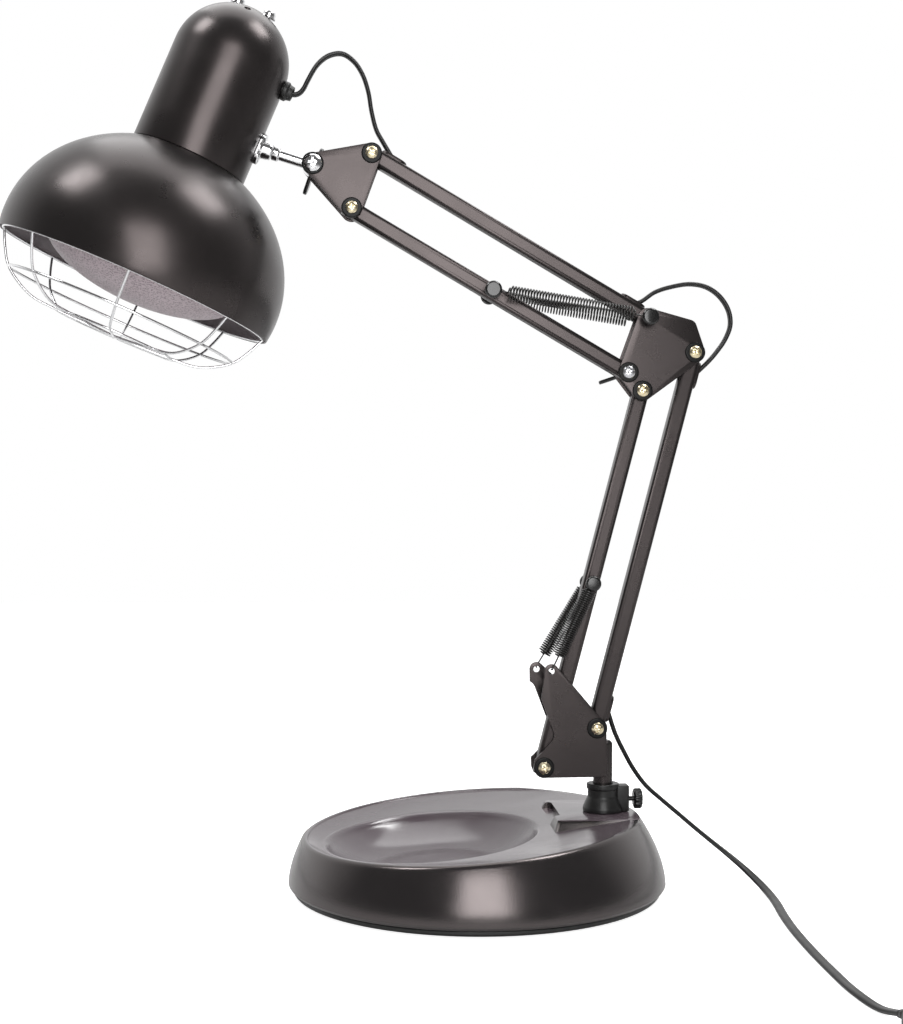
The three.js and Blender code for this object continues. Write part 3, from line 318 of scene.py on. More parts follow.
def kept_as_mesh(made, crease=38):
    """What a piece's modifiers give becomes its own mesh."""
    graph = bpy.context.evaluated_depsgraph_get()
    fresh = bpy.data.meshes.new_from_object(made.evaluated_get(graph))
    old = made.data
    made.modifiers.clear()
    made.data = fresh
    fresh.name = old.name
    bpy.data.meshes.remove(old)
    fresh.polygons.foreach_set("use_smooth", np.ones(len(fresh.polygons), dtype=bool))
    fresh.set_sharp_from_angle(angle=math.radians(crease))


def cutter(name, grids, around=True, capped=True):
    """Tool for a cut: a closed mesh that is taken away again once it has been used."""
    tool = bpy.data.objects.new(name, mesh_of(name, grids, around, capped))
    bpy.context.scene.collection.objects.link(tool)
    return tool


def slab(outline, low, high, edge=0.3, steps=3):
    """Plate between two heights with eased edges, drawn in by r(1 - sin a) at a lift of r(1 - cos a).

    The outline is closed, runs anticlockwise and lies in the first two coordinates; rows are its levels.
    """
    outline = np.asarray(outline, float)
    way = np.roll(outline, -1, axis=0) - np.roll(outline, 1, axis=0)
    inward = np.stack([-way[:, 1], way[:, 0]], axis=-1)
    inward /= np.linalg.norm(inward, axis=1, keepdims=True)
    a = np.linspace(0, math.pi / 2, steps + 1)
    inset, lift = edge * (1 - np.sin(a)), edge * (1 - np.cos(a))
    levels = [(inset[i], low + lift[i]) for i in range(steps + 1)]
    levels += [(inset[i], high - lift[i]) for i in range(steps, -1, -1)]
    rows = [np.column_stack([outline + inward * by, np.full(len(outline), height)]) for by, height in levels]
    return np.stack(rows)


def belted(circles, steps=96):
    """Outline that runs round circles like a belt, anticlockwise.

    For each direction n it has the point c + r n of the circle that reaches furthest, by c.n + r.
    """
    circles = np.asarray(circles, float)
    angle = np.linspace(0, TAU, steps, endpoint=False)
    way = np.stack([np.cos(angle), np.sin(angle)], axis=-1)
    furthest = np.argmax(circles[:, :2] @ way.T + circles[:, 2:], axis=0)
    return circles[furthest, :2] + circles[furthest, 2:] * way


ARM_PLANE = np.array([[1, 0, 0, 0], [0, 0, -1, ARM_Y], [0, 1, 0, 0], [0, 0, 0, 1]], float)


def lying(grid, y=0.0):
    """A grid drawn with x and z first and its height towards -Y, stood up in the plane of the arms."""
    return moved(grid, ARM_PLANE) - np.array([0, y, 0])


# Finishes.

def node(tree, kind, inputs=None, **settings):
    """New shader node with its settings, and each input set to a value or joined to a socket."""
    made = tree.nodes.new("ShaderNode" + kind)
    for key, value in settings.items():
        setattr(made, key, value)
    for key, value in (inputs or {}).items():
        if isinstance(value, bpy.types.NodeSocket):
            tree.links.new(value, made.inputs[key])
        else:
            made.inputs[key].default_value = value
    return made


def shader_group(name, inputs, outputs):
    """New group of shader nodes, with its inputs as names and defaults and its outputs as names."""
    tree = bpy.data.node_groups.new(name, "ShaderNodeTree")
    for label, value in inputs:
        kind = "NodeSocketVector" if value is None else "NodeSocketFloat"
        socket = tree.interface.new_socket(label, in_out="INPUT", socket_type=kind)
        if value is not None:
            socket.default_value = value
    for label in outputs:
        tree.interface.new_socket(label, in_out="OUTPUT", socket_type="NodeSocketFloat")
    return tree, tree.nodes.new("NodeGroupInput").outputs, tree.nodes.new("NodeGroupOutput").inputs


def grain_group():
    """Pebbled skin of paint or moulding: its height, its broad tone and its brightest flecks."""
    tree, given, result = shader_group("Skin grain", [("Vector", None), ("Size", 1.0), ("Spread", 0.16)],
                                       ["Height", "Tone", "Flecks"])
    scale = node(tree, "Math", {0: 1 / MM, 1: given["Size"]}, operation="DIVIDE").outputs[0]
    pebbles = node(tree, "TexNoise", {"Vector": given["Vector"], "Scale": scale, "Detail": 2.0,
                                      "Roughness": 0.55})
    broad = node(tree, "TexNoise", {"Vector": given["Vector"], "Scale": 14.0, "Detail": 3.0})
    cells = node(tree, "TexVoronoi", {"Vector": given["Vector"], "Scale": scale})
    flecks = node(tree, "MapRange", {"Value": cells.outputs["Distance"], "From Min": given["Spread"],
                                     "From Max": 0.04})
    tree.links.new(pebbles.outputs["Fac"], result["Height"])
    tree.links.new(node(tree, "MapRange", {"Value": broad.outputs["Fac"], "From Min": 0.35,
                                           "From Max": 0.65}).outputs[0], result["Tone"])
    tree.links.new(flecks.outputs[0], result["Flecks"])


def smudge_group():
    """Roughness that drifts between a clean and a handled value, with a few fine rubbed streaks."""
    tree, given, result = shader_group("Handled gloss", [("Vector", None), ("Clean", 0.2), ("Handled", 0.4)],
                                       ["Roughness"])
    cloud = node(tree, "TexNoise", {"Vector": given["Vector"], "Scale": 32.0, "Detail": 5.0,
                                    "Roughness": 0.6})
    drawn = node(tree, "Mapping", {"Vector": given["Vector"], "Scale": (40.0, 40.0, 900.0)})
    streaks = node(tree, "TexNoise", {"Vector": drawn.outputs[0], "Scale": 1.0, "Detail": 2.0})
    both = node(tree, "Math", {0: streaks.outputs["Fac"], 1: 0.1, 2: cloud.outputs["Fac"]},
                operation="MULTIPLY_ADD")
    spread = node(tree, "MapRange", {"Value": both.outputs[0], "From Min": 0.42, "From Max": 0.70,
                                     "To Min": given["Clean"], "To Max": given["Handled"]})
    tree.links.new(spread.outputs[0], result["Roughness"])


def dust_group():
    """Mask of the thin dust that settles in patches on what faces up."""
    tree, given, result = shader_group("Settled dust", [("Vector", None), ("Amount", 0.1)], ["Mask"])
    normal = node(tree, "NewGeometry").outputs["Normal"]
    upward = node(tree, "MapRange", {"Value": node(tree, "SeparateXYZ", {0: normal}).outputs["Z"],
                                     "From Min": 0.35, "From Max": 1.0})
    patches = node(tree, "TexNoise", {"Vector": given["Vector"], "Scale": 60.0, "Detail": 6.0,
                                      "Roughness": 0.7})
    held = node(tree, "MapRange", {"Value": patches.outputs["Fac"], "From Min": 0.4, "From Max": 0.75})
    lying_on = node(tree, "Math", {0: upward.outputs[0], 1: held.outputs[0]}, operation="MULTIPLY")
    tree.links.new(node(tree, "Math", {0: lying_on.outputs[0], 1: given["Amount"]},
                        operation="MULTIPLY").outputs[0], result["Mask"])


DUST = (0.30, 0.28, 0.27, 1.0)


def finish(name, colour, shade, gloss, metallic=0.0, grain=(0.5, 0.01), dust=0.08, flecks=None, mirror=0.5,
           tint=(1.0, 1.0, 1.0)):
    """Finish of one kind of part.

    Its colour drifts from colour to shade, its roughness between the two values of gloss, and its skin
    has grain of one size and height in millimetres. Flecks is a colour for bright specks, and mirror and
    tint are the strength and colour of what it reflects straight on.
    """
    material = bpy.data.materials.new(name)
    material.use_nodes = True
    material.diffuse_color = (*colour, 1.0)
    tree = material.node_tree
    surface = tree.nodes["Principled BSDF"]
    where = node(tree, "TexCoord").outputs["Object"]
    skin = node(tree, "Group", node_tree=bpy.data.node_groups["Skin grain"])
    skin.name = "Skin"
    skin.inputs["Size"].default_value = grain[0]
    handled = node(tree, "Group", node_tree=bpy.data.node_groups["Handled gloss"])
    handled.inputs["Clean"].default_value, handled.inputs["Handled"].default_value = gloss
    settled = node(tree, "Group", node_tree=bpy.data.node_groups["Settled dust"])
    settled.inputs["Amount"].default_value = dust
    for part in (skin, handled, settled):
        tree.links.new(where, part.inputs["Vector"])
    paint = node(tree, "Mix", {"Factor": skin.outputs["Tone"], "A": (*colour, 1.0), "B": (*shade, 1.0)},
                 data_type="RGBA")
    if flecks:
        paint = node(tree, "Mix", {"Factor": skin.outputs["Flecks"], "A": paint.outputs["Result"],
                                   "B": (*flecks, 1.0)}, data_type="RGBA")
    dusty = node(tree, "Mix", {"Factor": settled.outputs["Mask"], "A": paint.outputs["Result"], "B": DUST},
                 data_type="RGBA")
    relief = node(tree, "Bump", {"Strength": 1.0, "Distance": grain[1] * MM,
                                 "Height": skin.outputs["Height"]})
    tree.links.new(dusty.outputs["Result"], surface.inputs["Base Color"])
    tree.links.new(handled.outputs["Roughness"], surface.inputs["Roughness"])
    tree.links.new(relief.outputs["Normal"], surface.inputs["Normal"])
    surface.inputs["Metallic"].default_value = metallic
    surface.inputs["Specular IOR Level"].default_value = mirror
    surface.inputs["Specular Tint"].default_value = (*tint, 1.0)
    return material


def glass_finish(name, colour, speckle):
    """Frosted glass: a pale skin with dark specks about a millimetre across, slightly see-through."""
    material = finish(name, colour, tuple(0.86 * value for value in colour), (0.34, 0.5), grain=(1.3, 0.05),
                      dust=0.0, flecks=speckle)
    material.node_tree.nodes["Skin"].inputs["Spread"].default_value = 0.55
    surface = material.node_tree.nodes["Principled BSDF"]
    surface.inputs["Transmission Weight"].default_value = 0.12
    surface.inputs["IOR"].default_value = 1.46
    return material


def dressed(key):
    """The finish of that name."""
    return bpy.data.materials[key]


# Sizes and colours that a user would change.

def length(label, about, value, low=0.0001):
    """Length property in metres, from a value in millimetres."""
    return FloatProperty(name=label, description=about, default=value * MM, min=low, unit="LENGTH",
                         precision=4)


def colour(label, about, value):
    """Colour property."""
    return FloatVectorProperty(name=label, description=about, default=value, min=0, max=1, size=3,
                               subtype="COLOR")


class LampSizes(bpy.types.PropertyGroup):
    """Sizes that the solids leave free."""

    upper_curls: IntProperty(name="Upper spring curls", description="Curls in each upper spring", default=44,
                             min=8)
    lower_curls: IntProperty(name="Lower spring curls", description="Curls in each lower spring", default=34,
                             min=8)
    spring_wire: length("Spring wire", "Diameter of the wire of the springs", 1.0)
    guard_wire: length("Guard wire", "Diameter of the wires of the guard", 1.6)
    recess_depth: length("Screw recess", "Depth of the cross recess in a screw head", 1.1)
    edge: length("Plate edge", "Radius of the eased edges of the plates", 0.35)
    lens: FloatProperty(name="Camera lens", description="Focal length of the camera", default=53.4, min=10,
                        unit="CAMERA")


class LampColours(bpy.types.PropertyGroup):
    """Colours of the lamp's finishes."""

    paint: colour("Paint", "Satin black paint of the head, arms and plates", (0.0075, 0.0070, 0.0070))
    # The base top's mauve is its own colour, lightened to stand in for the overhead light it reflects: partly
    # a painted reflection.
    base: colour("Base top", "Glossy top of the base", (0.085, 0.062, 0.075))
    wall: colour("Base wall", "Grained outer wall of the base", (0.008, 0.0075, 0.0078))
    moulding: colour("Moulding", "Collar, knob, feet, switch and plug", (0.0085, 0.0085, 0.0085))
    inside: colour("Inner shade", "Pale coat inside the shade", (0.44, 0.41, 0.42))
    glass: colour("Bulb face", "Frosted face of the bulb", (0.50, 0.42, 0.45))
    chrome: colour("Chrome", "Plated stem, saddle, screws and guard", (0.80, 0.80, 0.81))
    zinc: colour("Yellow zinc", "Plated heads of the pivot bolts", (0.70, 0.60, 0.38))


class MakeFinishes(bpy.types.Operator):
    """Make the finishes of the lamp."""

    bl_idname = "heat_lamp.finishes"
    bl_label = "Finishes"

    def execute(self, context):
        kept = context.scene.heat_lamp_colours
        chosen = (kept.paint, kept.moulding, kept.chrome, kept.zinc)
        paint, moulding, chrome, zinc = (tuple(value) for value in chosen)
        grain_group()
        smudge_group()
        dust_group()
        lacquer = dict(mirror=0.55, tint=(1.0, 0.86, 0.85))
        finish("Satin black paint", paint, (0.0085, 0.0075, 0.0075), (0.27, 0.33), grain=(0.7, 0.008),
               dust=0.02, **lacquer)
        finish("Arm paint", paint, (0.011, 0.010, 0.010), (0.26, 0.31), grain=(0.5, 0.006), dust=0.03,
               **lacquer)
        finish("Plate paint", paint, (0.011, 0.010, 0.010), (0.26, 0.31), grain=(0.5, 0.006), dust=0.03,
               **lacquer)
        finish("Base wall grain", tuple(kept.wall), (0.0085, 0.008, 0.0083), (0.19, 0.25), grain=(0.9, 0.05),
               dust=0.02, flecks=(0.030, 0.027, 0.028), mirror=0.95, tint=(1.0, 0.88, 0.87))
        # The top's colour is its own dark mauve gloss, raised to stand in for the reflection of the overhead
        # light: partly a painted reflection.
        finish("Base top gloss with painted reflection", tuple(kept.base), (0.100, 0.080, 0.090), (0.16, 0.26), grain=(1.4, 0.004),
               dust=0.06, mirror=1.0)
        finish("Soft black moulding", moulding, (0.011, 0.011, 0.0105), (0.34, 0.48), grain=(0.35, 0.02),
               dust=0.05, mirror=0.4)
        finish("Gloss black", (0.008, 0.008, 0.008), (0.010, 0.010, 0.010), (0.10, 0.20), grain=(1.2, 0.002),
               dust=0.04)
        finish("Ring black", (0.004, 0.004, 0.004), (0.006, 0.006, 0.006), (0.30, 0.40), grain=(0.8, 0.004),
               dust=0.02, mirror=0.15)
        finish("Flex sheath", (0.006, 0.006, 0.006), (0.010, 0.010, 0.010), (0.30, 0.42), grain=(0.6, 0.008),
               dust=0.03, mirror=0.35)
        finish("Blackened wire", (0.012, 0.011, 0.011), (0.020, 0.019, 0.018), (0.14, 0.24), metallic=0.2,
               grain=(0.4, 0.006), dust=0.02)
        finish("Inner shade coat", tuple(kept.inside), (0.24, 0.215, 0.225), (0.36, 0.52), metallic=0.35,
               grain=(1.3, 0.06), dust=0.0, flecks=(0.30, 0.27, 0.28))
        finish("Chrome", chrome, tuple(0.94 * v for v in chrome), (0.07, 0.16), metallic=1.0,
               grain=(1.5, 0.002), dust=0.03)
        finish("Yellow zinc", zinc, (0.74, 0.67, 0.50), (0.22, 0.34), metallic=1.0, grain=(0.6, 0.01),
               dust=0.06)
        finish("Bright zinc", (0.66, 0.66, 0.66), (0.58, 0.59, 0.62), (0.22, 0.34), metallic=1.0,
               grain=(0.6, 0.01), dust=0.06)
        finish("Cast iron", (0.05, 0.045, 0.04), (0.09, 0.06, 0.045), (0.6, 0.8), metallic=0.5,
               grain=(0.8, 0.12), dust=0.1)
        finish("Porcelain", (0.80, 0.78, 0.74), (0.74, 0.71, 0.66), (0.12, 0.24), grain=(2.0, 0.01), dust=0.1)
        finish("Brass", (0.72, 0.52, 0.22), (0.60, 0.41, 0.17), (0.18, 0.32), metallic=1.0,
               grain=(0.5, 0.008), dust=0.03)
        finish("Silvered glass", (0.62, 0.60, 0.60), (0.55, 0.53, 0.53), (0.10, 0.2), metallic=0.8,
               grain=(2.0, 0.004), dust=0.0)
        glass_finish("Frosted glass", tuple(kept.glass), (0.075, 0.050, 0.060))
        return {"FINISHED"}


# Leads. Their routes repeat the model's: head and elbow loops as x and z, the mains lead as x, y and z.

HEAD_ROUTE = [[-116.1, 492.7], [-112.6, 491.4], [-109.3, 492.4], [-106.6, 495.4], [-104.3, 500], [-98, 510.5],
              [-91, 516], [-83, 517.3], [-76, 513], [-70.5, 505], [-66.8, 494], [-64.8, 482], [-61.8, 470.5],
              [-58, 463.5], [-53.3, 455.6], [-49.2, 447.8]]
ELBOW_ROUTE = [[93.4, 364.9], [102.3, 365.1], [113, 371.9], [123.8, 375.4], [135.3, 377.1], [145.5, 375.3],
               [153.7, 369.8], [159.5, 361], [160.8, 351.6], [157.6, 342.7], [152, 334.5], [146.5, 328.2],
               [140.7, 322.7], [134.2, 316.7]]
SWITCH_AT, SWITCH_LENGTH, ENTRY = (173.9, -313.0), 62.0, 8.5
MAINS_ROUTE = [[81, 7, 115.5], [83.7, 7, 107.1], [87.5, 7, 95.5], [94.2, 7, 81.7], [99.5, 7, 72.4],
               [107, 7, 62.5], [117, 7, 53.5], [127.5, 7, 44.6], [138.5, 6.8, 35.2], [149.3, 5.6, 26.4],
               [159, 2.6, 18.6], [167, -3.2, 11.8], [172.6, -11.8, 6.4], [175.4, -23, 3], [175.6, -36, 1.7],
               [174, -52, 1.6], [171, -74, 1.6], [168, -103, 1.6], [165.8, -140, 1.6], [164.8, -178, 1.6],
               [165.1, -215, 1.6], [168.4, -242, 2], [172.6, -264, 6.4], [173.9, -281.85, ENTRY]]
COIL_EXIT = [[174.5, -402, 9.2], [171, -419, 8.2], [160, -433, 7.7], [146, -439.3, 7.5], [137.7, -440, 7.5]]
COIL = dict(x=137.5, y=-386.0, radius=31.0, pitch=3.6, layer=6.4, lift=0.6, loops=3, climb=0.25)
FLEX_WIDTH, FLEX_THICKNESS = 5.6, 2.9


def twin(sides=20, grow=0.0):
    """Section of twin flex: an oval whose half height is pinched by a bell curve at its middle."""
    ring = oval(FLEX_WIDTH + grow, FLEX_THICKNESS + grow, sides, 2.3)
    ring[:, 1] *= 1 - 0.24 * np.exp(-(ring[:, 0] / 0.7) ** 2)
    return ring


def floorwise(path):
    """Direction across a path that lies level, tangent x Z."""
    across = np.cross(np.gradient(path, axis=0), Z_AXIS)
    return across / np.linalg.norm(across, axis=1, keepdims=True)


def lead(name, path, side, node_name, joins):
    """A stretch of flex: it rides on one body, or, between two, stays unparented with its place baked in."""
    mesh = mesh_of(name, [swept(path, side, twin())], capped=True)
    made = shown(name, mesh, dressed("Flex sheath"), 60)
    settle(made, joins[0] if len(joins) == 1 else None, [node_name])
    if len(joins) > 1:
        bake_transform(made)
    return made


def coil_path(per_turn=40, tail=10):
    """The spare lead: a flat spiral out and back in two layers, with tails to the switch and the plug.

    Turn t of 6 has radius outer - pitch (3 - |t - 3|) and rises one layer where t passes 3.
    """
    loops = COIL["loops"]
    turn = np.arange(2 * loops * per_turn + 1) / per_turn
    radius = COIL["radius"] + COIL["pitch"] * (loops / 2 - loops + np.abs(turn - loops))
    height = FLEX_WIDTH / 2 + COIL["lift"] + COIL["layer"] * eased((turn - loops + COIL["climb"])
                                                                   / (2 * COIL["climb"]))
    turns = np.stack([COIL["x"] + radius * np.cos(-TAU * turn), COIL["y"] + radius * np.sin(-TAU * turn),
                      height], axis=-1)
    start = np.array([SWITCH_AT[0], SWITCH_AT[1] - SWITCH_LENGTH / 2 - 0.3, ENTRY])
    share = np.arange(tail)[:, None] / tail
    entry = start + (turns[0] - start) * np.hstack([share, share, eased(share)])
    leaving = route(np.vstack([turns[-per_turn // 12 - 1], turns[-1], COIL_EXIT]), 6)[6:]
    path = np.vstack([entry, turns, leaving[1:]])
    count = np.arange(len(path))
    last = len(path) - 1
    on_edge = np.where(count < tail, count / tail, np.minimum((last - count) / (len(leaving) - 1), 1.0))
    roll = math.pi / 2 * eased(on_edge)[:, None]
    side = floorwise(path) * np.cos(roll) + Z_AXIS * np.sin(roll)
    return path, side


class MakeLeads(bpy.types.Operator):
    """Make the supply lead: the loops at the head and elbow, and the mains lead down to the switch."""

    bl_idname = "heat_lamp.leads"
    bl_label = "Supply lead"

    def execute(self, context):
        head, elbow = flat(HEAD_ROUTE), flat(ELBOW_ROUTE)
        mains = np.array(MAINS_ROUTE)
        parts = [
            ("head_lead_1", head, (0, 6), ("head", "stem", 2, 5), Y_AXIS),
            ("head_lead_2", head, (6, 10), ("stem", "head_bracket", 6, 9), Y_AXIS),
            ("head_lead_3", head, (10, 15), ("head_bracket", "upper_top", 11, 14), Y_AXIS),
            ("elbow_lead_1", elbow, (0, 5), ("upper_top", "elbow", 1, 4), Y_AXIS),
            ("elbow_lead_2", elbow, (5, 13), ("elbow", "lower_rear", 7, 12), Y_AXIS),
            ("mains_lead_1", mains, (0, 4), ("lower_rear", "lower_bracket", 1, 3), None),
            ("mains_lead_2", mains, (4, 10), ("lower_bracket", "base", 5, 9), None),
            ("mains_lead_3", mains, (10, 23), ("base",), None),
        ]
        for name, points, stops, joins, side in parts:
            path = even(route(points, 24, stops), 1.6)
            ends = () if len(joins) == 1 else (joins[0], joins[1], points[joins[2]], points[joins[3]])
            made = lead(name + "_flex", path, floorwise(path) if side is None else side, name, ends or joins)
        return {"FINISHED"}


class MakeStage(bpy.types.Operator):
    """Set the camera, the pale floor, the soft light and the white surroundings."""

    bl_idname = "heat_lamp.stage"
    bl_label = "Camera, floor and light"

    def execute(self, context):
        scene = context.scene
        camera = bpy.data.objects.new("Camera", bpy.data.cameras.new("Camera"))
        camera.data.lens = scene.heat_lamp_sizes.lens
        camera.data.sensor_width = 36
        camera.location = (-0.0810, -0.9351, 0.2339)
        camera.rotation_euler = (math.radians(90), 0, math.radians(-4))
        scene.collection.objects.link(camera)
        scene.camera = camera
        scene.view_settings.view_transform = "Standard"
        self.floor()
        self.surroundings(scene)
        self.light("Front softbox", (0.0, -1.03, 0.52), (0.0, 0.0, 0.48), (0.52, 0.80), 8.8)
        self.light("Left overhead softbox", (-0.83, -0.19, 1.47), (-0.10, 0.0, 0.30), (0.45, 0.45), 7.6)
        self.light("Right overhead softbox", (0.60, -0.06, 1.38), (0.0, 0.0, 0.30), (0.45, 0.45), 7.4)
        self.light("Ceiling softbox", (0.0, 0.45, 1.60), (0.0, 0.1, 0.20), (1.2, 1.3), 9.5)
        return {"FINISHED"}

    def floor(self):
        """Wide pale floor a hair under the feet, which glows to the camera so that it is white where lit."""
        grid = np.array([[[x, y, -0.05] for x in (-3000.0, 3000.0)] for y in (-3000.0, 3000.0)])
        material = bpy.data.materials.new("Pale floor")
        material.use_nodes = True
        tree = material.node_tree
        surface = tree.nodes["Principled BSDF"]
        surface.inputs["Base Color"].default_value = (0.80, 0.80, 0.80, 1)
        surface.inputs["Roughness"].default_value = 0.8
        surface.inputs["Emission Color"].default_value = (1, 1, 1, 1)
        ray = node(tree, "LightPath")
        glow = node(tree, "MapRange", {"Value": ray.outputs["Is Camera Ray"], "To Min": 0.05, "To Max": 0.90})
        tree.links.new(glow.outputs[0], surface.inputs["Emission Strength"])
        shown("Floor", mesh_of("Floor", [grid], around=False), material)

    def surroundings(self, scene):
        """Backdrop that is white to the camera, in glass and in what mirrors it from behind; else dim."""
        world = bpy.data.worlds.new("Surroundings")
        world.use_nodes = True
        scene.world = world
        tree = world.node_tree
        ray = node(tree, "LightPath")
        way = node(tree, "SeparateXYZ", {0: node(tree, "TexCoord").outputs["Generated"]})
        behind = node(tree, "MapRange", {"Value": way.outputs["Y"], "From Min": -0.1, "From Max": 0.5})
        mirrored = node(tree, "Math", {0: ray.outputs["Is Glossy Ray"], 1: behind.outputs[0]},
                        operation="MULTIPLY")
        seen = node(tree, "Math", {0: ray.outputs["Is Camera Ray"], 1: mirrored.outputs[0]},
                    operation="MAXIMUM")
        seen = node(tree, "Math", {0: seen.outputs[0], 1: ray.outputs["Is Transmission Ray"]},
                    operation="MAXIMUM")
        strength = node(tree, "MapRange", {"Value": seen.outputs[0], "To Min": 0.15, "To Max": 1.0})
        sky = tree.nodes["Background"]
        sky.inputs["Color"].default_value = (1, 1, 1, 1)
        tree.links.new(strength.outputs[0], sky.inputs["Strength"])

    def light(self, name, place_at, aim, size, power):
        """Rectangular softbox at a place, facing a point."""
        lamp = bpy.data.lights.new(name, "AREA")
        lamp.shape = "RECTANGLE"
        lamp.size, lamp.size_y = size
        lamp.energy = power
        made = bpy.data.objects.new(name, lamp)
        made.location = place_at
        way = Matrix.Translation(aim).translation - Matrix.Translation(place_at).translation
        made.rotation_euler = way.to_track_quat("-Z", "Y").to_euler()
        bpy.context.scene.collection.objects.link(made)


# Base.

BASE_RADIUS, WIDEST, WALL_TOP, DRAW_IN, DRAW_POWER = 115.6, 8.0, 51.0, 18.5, 1.7
SEAM_RADIUS, SEAM_HEIGHT, TOP_HEIGHT, LANDING_HEIGHT = 114.0, 5.8, 42.5, 46.8
RING_DROP, DISH_DEPTH, DISH_RADIUS, DISH_FLOOR = 4.5, 17.4, 65.5, 32.0
DISH_AT = np.array([-28.5, -6.3])
TOP_SLOPE, TOP_TURN = math.radians(4.12), math.radians(12.9)
TOP_AXIS = (math.sin(TOP_TURN), -math.cos(TOP_TURN), 0)
TOP_FRAME = np.array(Matrix.Translation((0, 0, TOP_HEIGHT)) @ Matrix.Rotation(TOP_SLOPE, 4, TOP_AXIS))


def wall_radius(height):
    """Radius of the outer wall: the widest less 18.5 times the 1.7th power of the share of the way up."""
    return BASE_RADIUS - DRAW_IN * np.clip((height - WIDEST) / (WALL_TOP - WIDEST), 0, 1) ** DRAW_POWER


TOP_RISE = wall_radius(TOP_HEIGHT) * math.sin(TOP_SLOPE)
RECESS = wall_radius(TOP_HEIGHT) - 2.9
RIM_AT = np.array([math.cos(TOP_TURN), math.sin(TOP_TURN)]) * (
    wall_radius(TOP_HEIGHT + TOP_RISE) - wall_radius(TOP_HEIGHT - TOP_RISE)) / 2


def rim_height(angle, inset=0.0):
    """Height of the rim, found by rounds of height -> radius -> height: the tilted top, up to the landing."""
    height = np.full_like(angle, TOP_HEIGHT)
    normal = TOP_FRAME[:3, 2]
    for _ in range(5):
        radius = wall_radius(height) - inset
        height = TOP_HEIGHT - (normal[0] * np.cos(angle) + normal[1] * np.sin(angle)) * radius / normal[2]
    return np.minimum(height, LANDING_HEIGHT - 0.2)


def base_skin(segments=180):
    """Skin of the base in one grid: wall rows at shares of the local rim height, then the lip, ring and dish.

    Inside the rim each row is a circle in the tilted top, whose centre slides from the base to the dish.
    """
    angle = np.linspace(0, TAU, segments, endpoint=False)
    top = rim_height(angle)
    rows = [np.stack([r * np.cos(angle), r * np.sin(angle), np.full(segments, h)], axis=-1) for r,
            h in rounded([[SEAM_RADIUS - 3, SEAM_HEIGHT], [SEAM_RADIUS, SEAM_HEIGHT], [BASE_RADIUS, WIDEST]],
                         1.2)]
    for share in np.linspace(0, 1, 22)[1:]:
        height = WIDEST + (top - 1.1 - WIDEST) * share
        radius = wall_radius(height)
        rows.append(np.stack([radius * np.cos(angle), radius * np.sin(angle), height], axis=-1))
    edge = RECESS
    sizes = rounded([[edge + 1.3, 0.0, 0.0], [edge, 0.0, 0.0], [edge - 0.4, -1.2, 0.0],
                     [DISH_RADIUS + 2.2, -RING_DROP + 0.2, 1.0], [DISH_RADIUS, -RING_DROP, 1.0],
                     [DISH_RADIUS - 2.4, -RING_DROP - 2.2, 1.0]], [0.7, 0.8, 2.0, 1.6], 4)
    lip = wall_radius(top)[:, None] * np.stack([np.cos(angle), np.sin(angle)], axis=-1)
    rows.append(np.column_stack([lip * (1 - 0.35 / BASE_RADIUS), top - 0.35]))
    rows.append(np.column_stack([lip * (1 - 1.1 / BASE_RADIUS), top]))
    share = np.linspace((DISH_RADIUS - 2.6 - DISH_FLOOR) / (DISH_RADIUS - DISH_FLOOR), 0, 14)
    bowl = np.column_stack([DISH_FLOOR + (DISH_RADIUS - DISH_FLOOR) * share,
                            -RING_DROP - DISH_DEPTH * (1 - share * share), np.ones(len(share))])
    floor = np.column_stack([np.linspace(DISH_FLOOR, 0.0, 8)[1:], np.full(7, -RING_DROP - DISH_DEPTH),
                             np.ones(7)])
    for radius, drop, shift in np.vstack([sizes, bowl, floor]):
        centre = DISH_AT * shift + RIM_AT * (1 - shift)
        row = np.stack([centre[0] + radius * np.cos(angle), centre[1] + radius * np.sin(angle),
                        np.full(segments, drop)], axis=-1)
        row = moved(row, TOP_FRAME)
        row[:, 2] = np.minimum(row[:, 2], LANDING_HEIGHT - 0.2)
        rows.append(row)
    return np.stack(rows)


def dress_faces(made, names, chosen):
    """Gives the chosen faces the second of two finishes and the rest the first."""
    made.data.materials.clear()
    for name in names:
        made.data.materials.append(dressed(name))
    made.data.polygons.foreach_set("material_index", chosen.astype(np.int32))


def of_faces(made, key):
    """Centres or normals of the faces of a piece, one row for each."""
    found = np.empty(len(made.data.polygons) * 3)
    made.data.polygons.foreach_get(key, found)
    return found.reshape(-1, 3)


def box_outline(width, depth, corner, at=(0.0, 0.0), turn=0.0, steps=48):
    """Outline of a rectangle with round corners, turned by an angle in degrees."""
    x, y = width / 2 - corner, depth / 2 - corner
    outline = belted([[x, y, corner], [-x, y, corner], [-x, -y, corner], [x, -y, corner]], steps)
    c, s = math.cos(math.radians(turn)), math.sin(math.radians(turn))
    return outline @ np.array([[c, s], [-s, c]]) + np.asarray(at)


def landing_rows():
    """Landing block: outlines that grow from its level top down its ramp, each a belt round four corners."""
    def outline(left, front, corner):
        """Four corners of one level, from its left and front edges."""
        right, back = BASE_RADIUS - 5, 44.0
        return belted([[right, back - corner, corner], [left + corner, back - corner, corner],
                       [left + corner, front + corner, corner], [right, front + corner, corner]], 96)
    levels = [(40.0, -44.0, 28.0), (40.0, -44.0, 33.0), (46.8, -23.6, 45.0), (47.6, -21.2, 46.4),
              (48.6, -19.8, 46.8)]
    return np.stack([np.column_stack([outline(left, front, 2.4), np.full(96, height)]) for left, front,
                     height in levels])


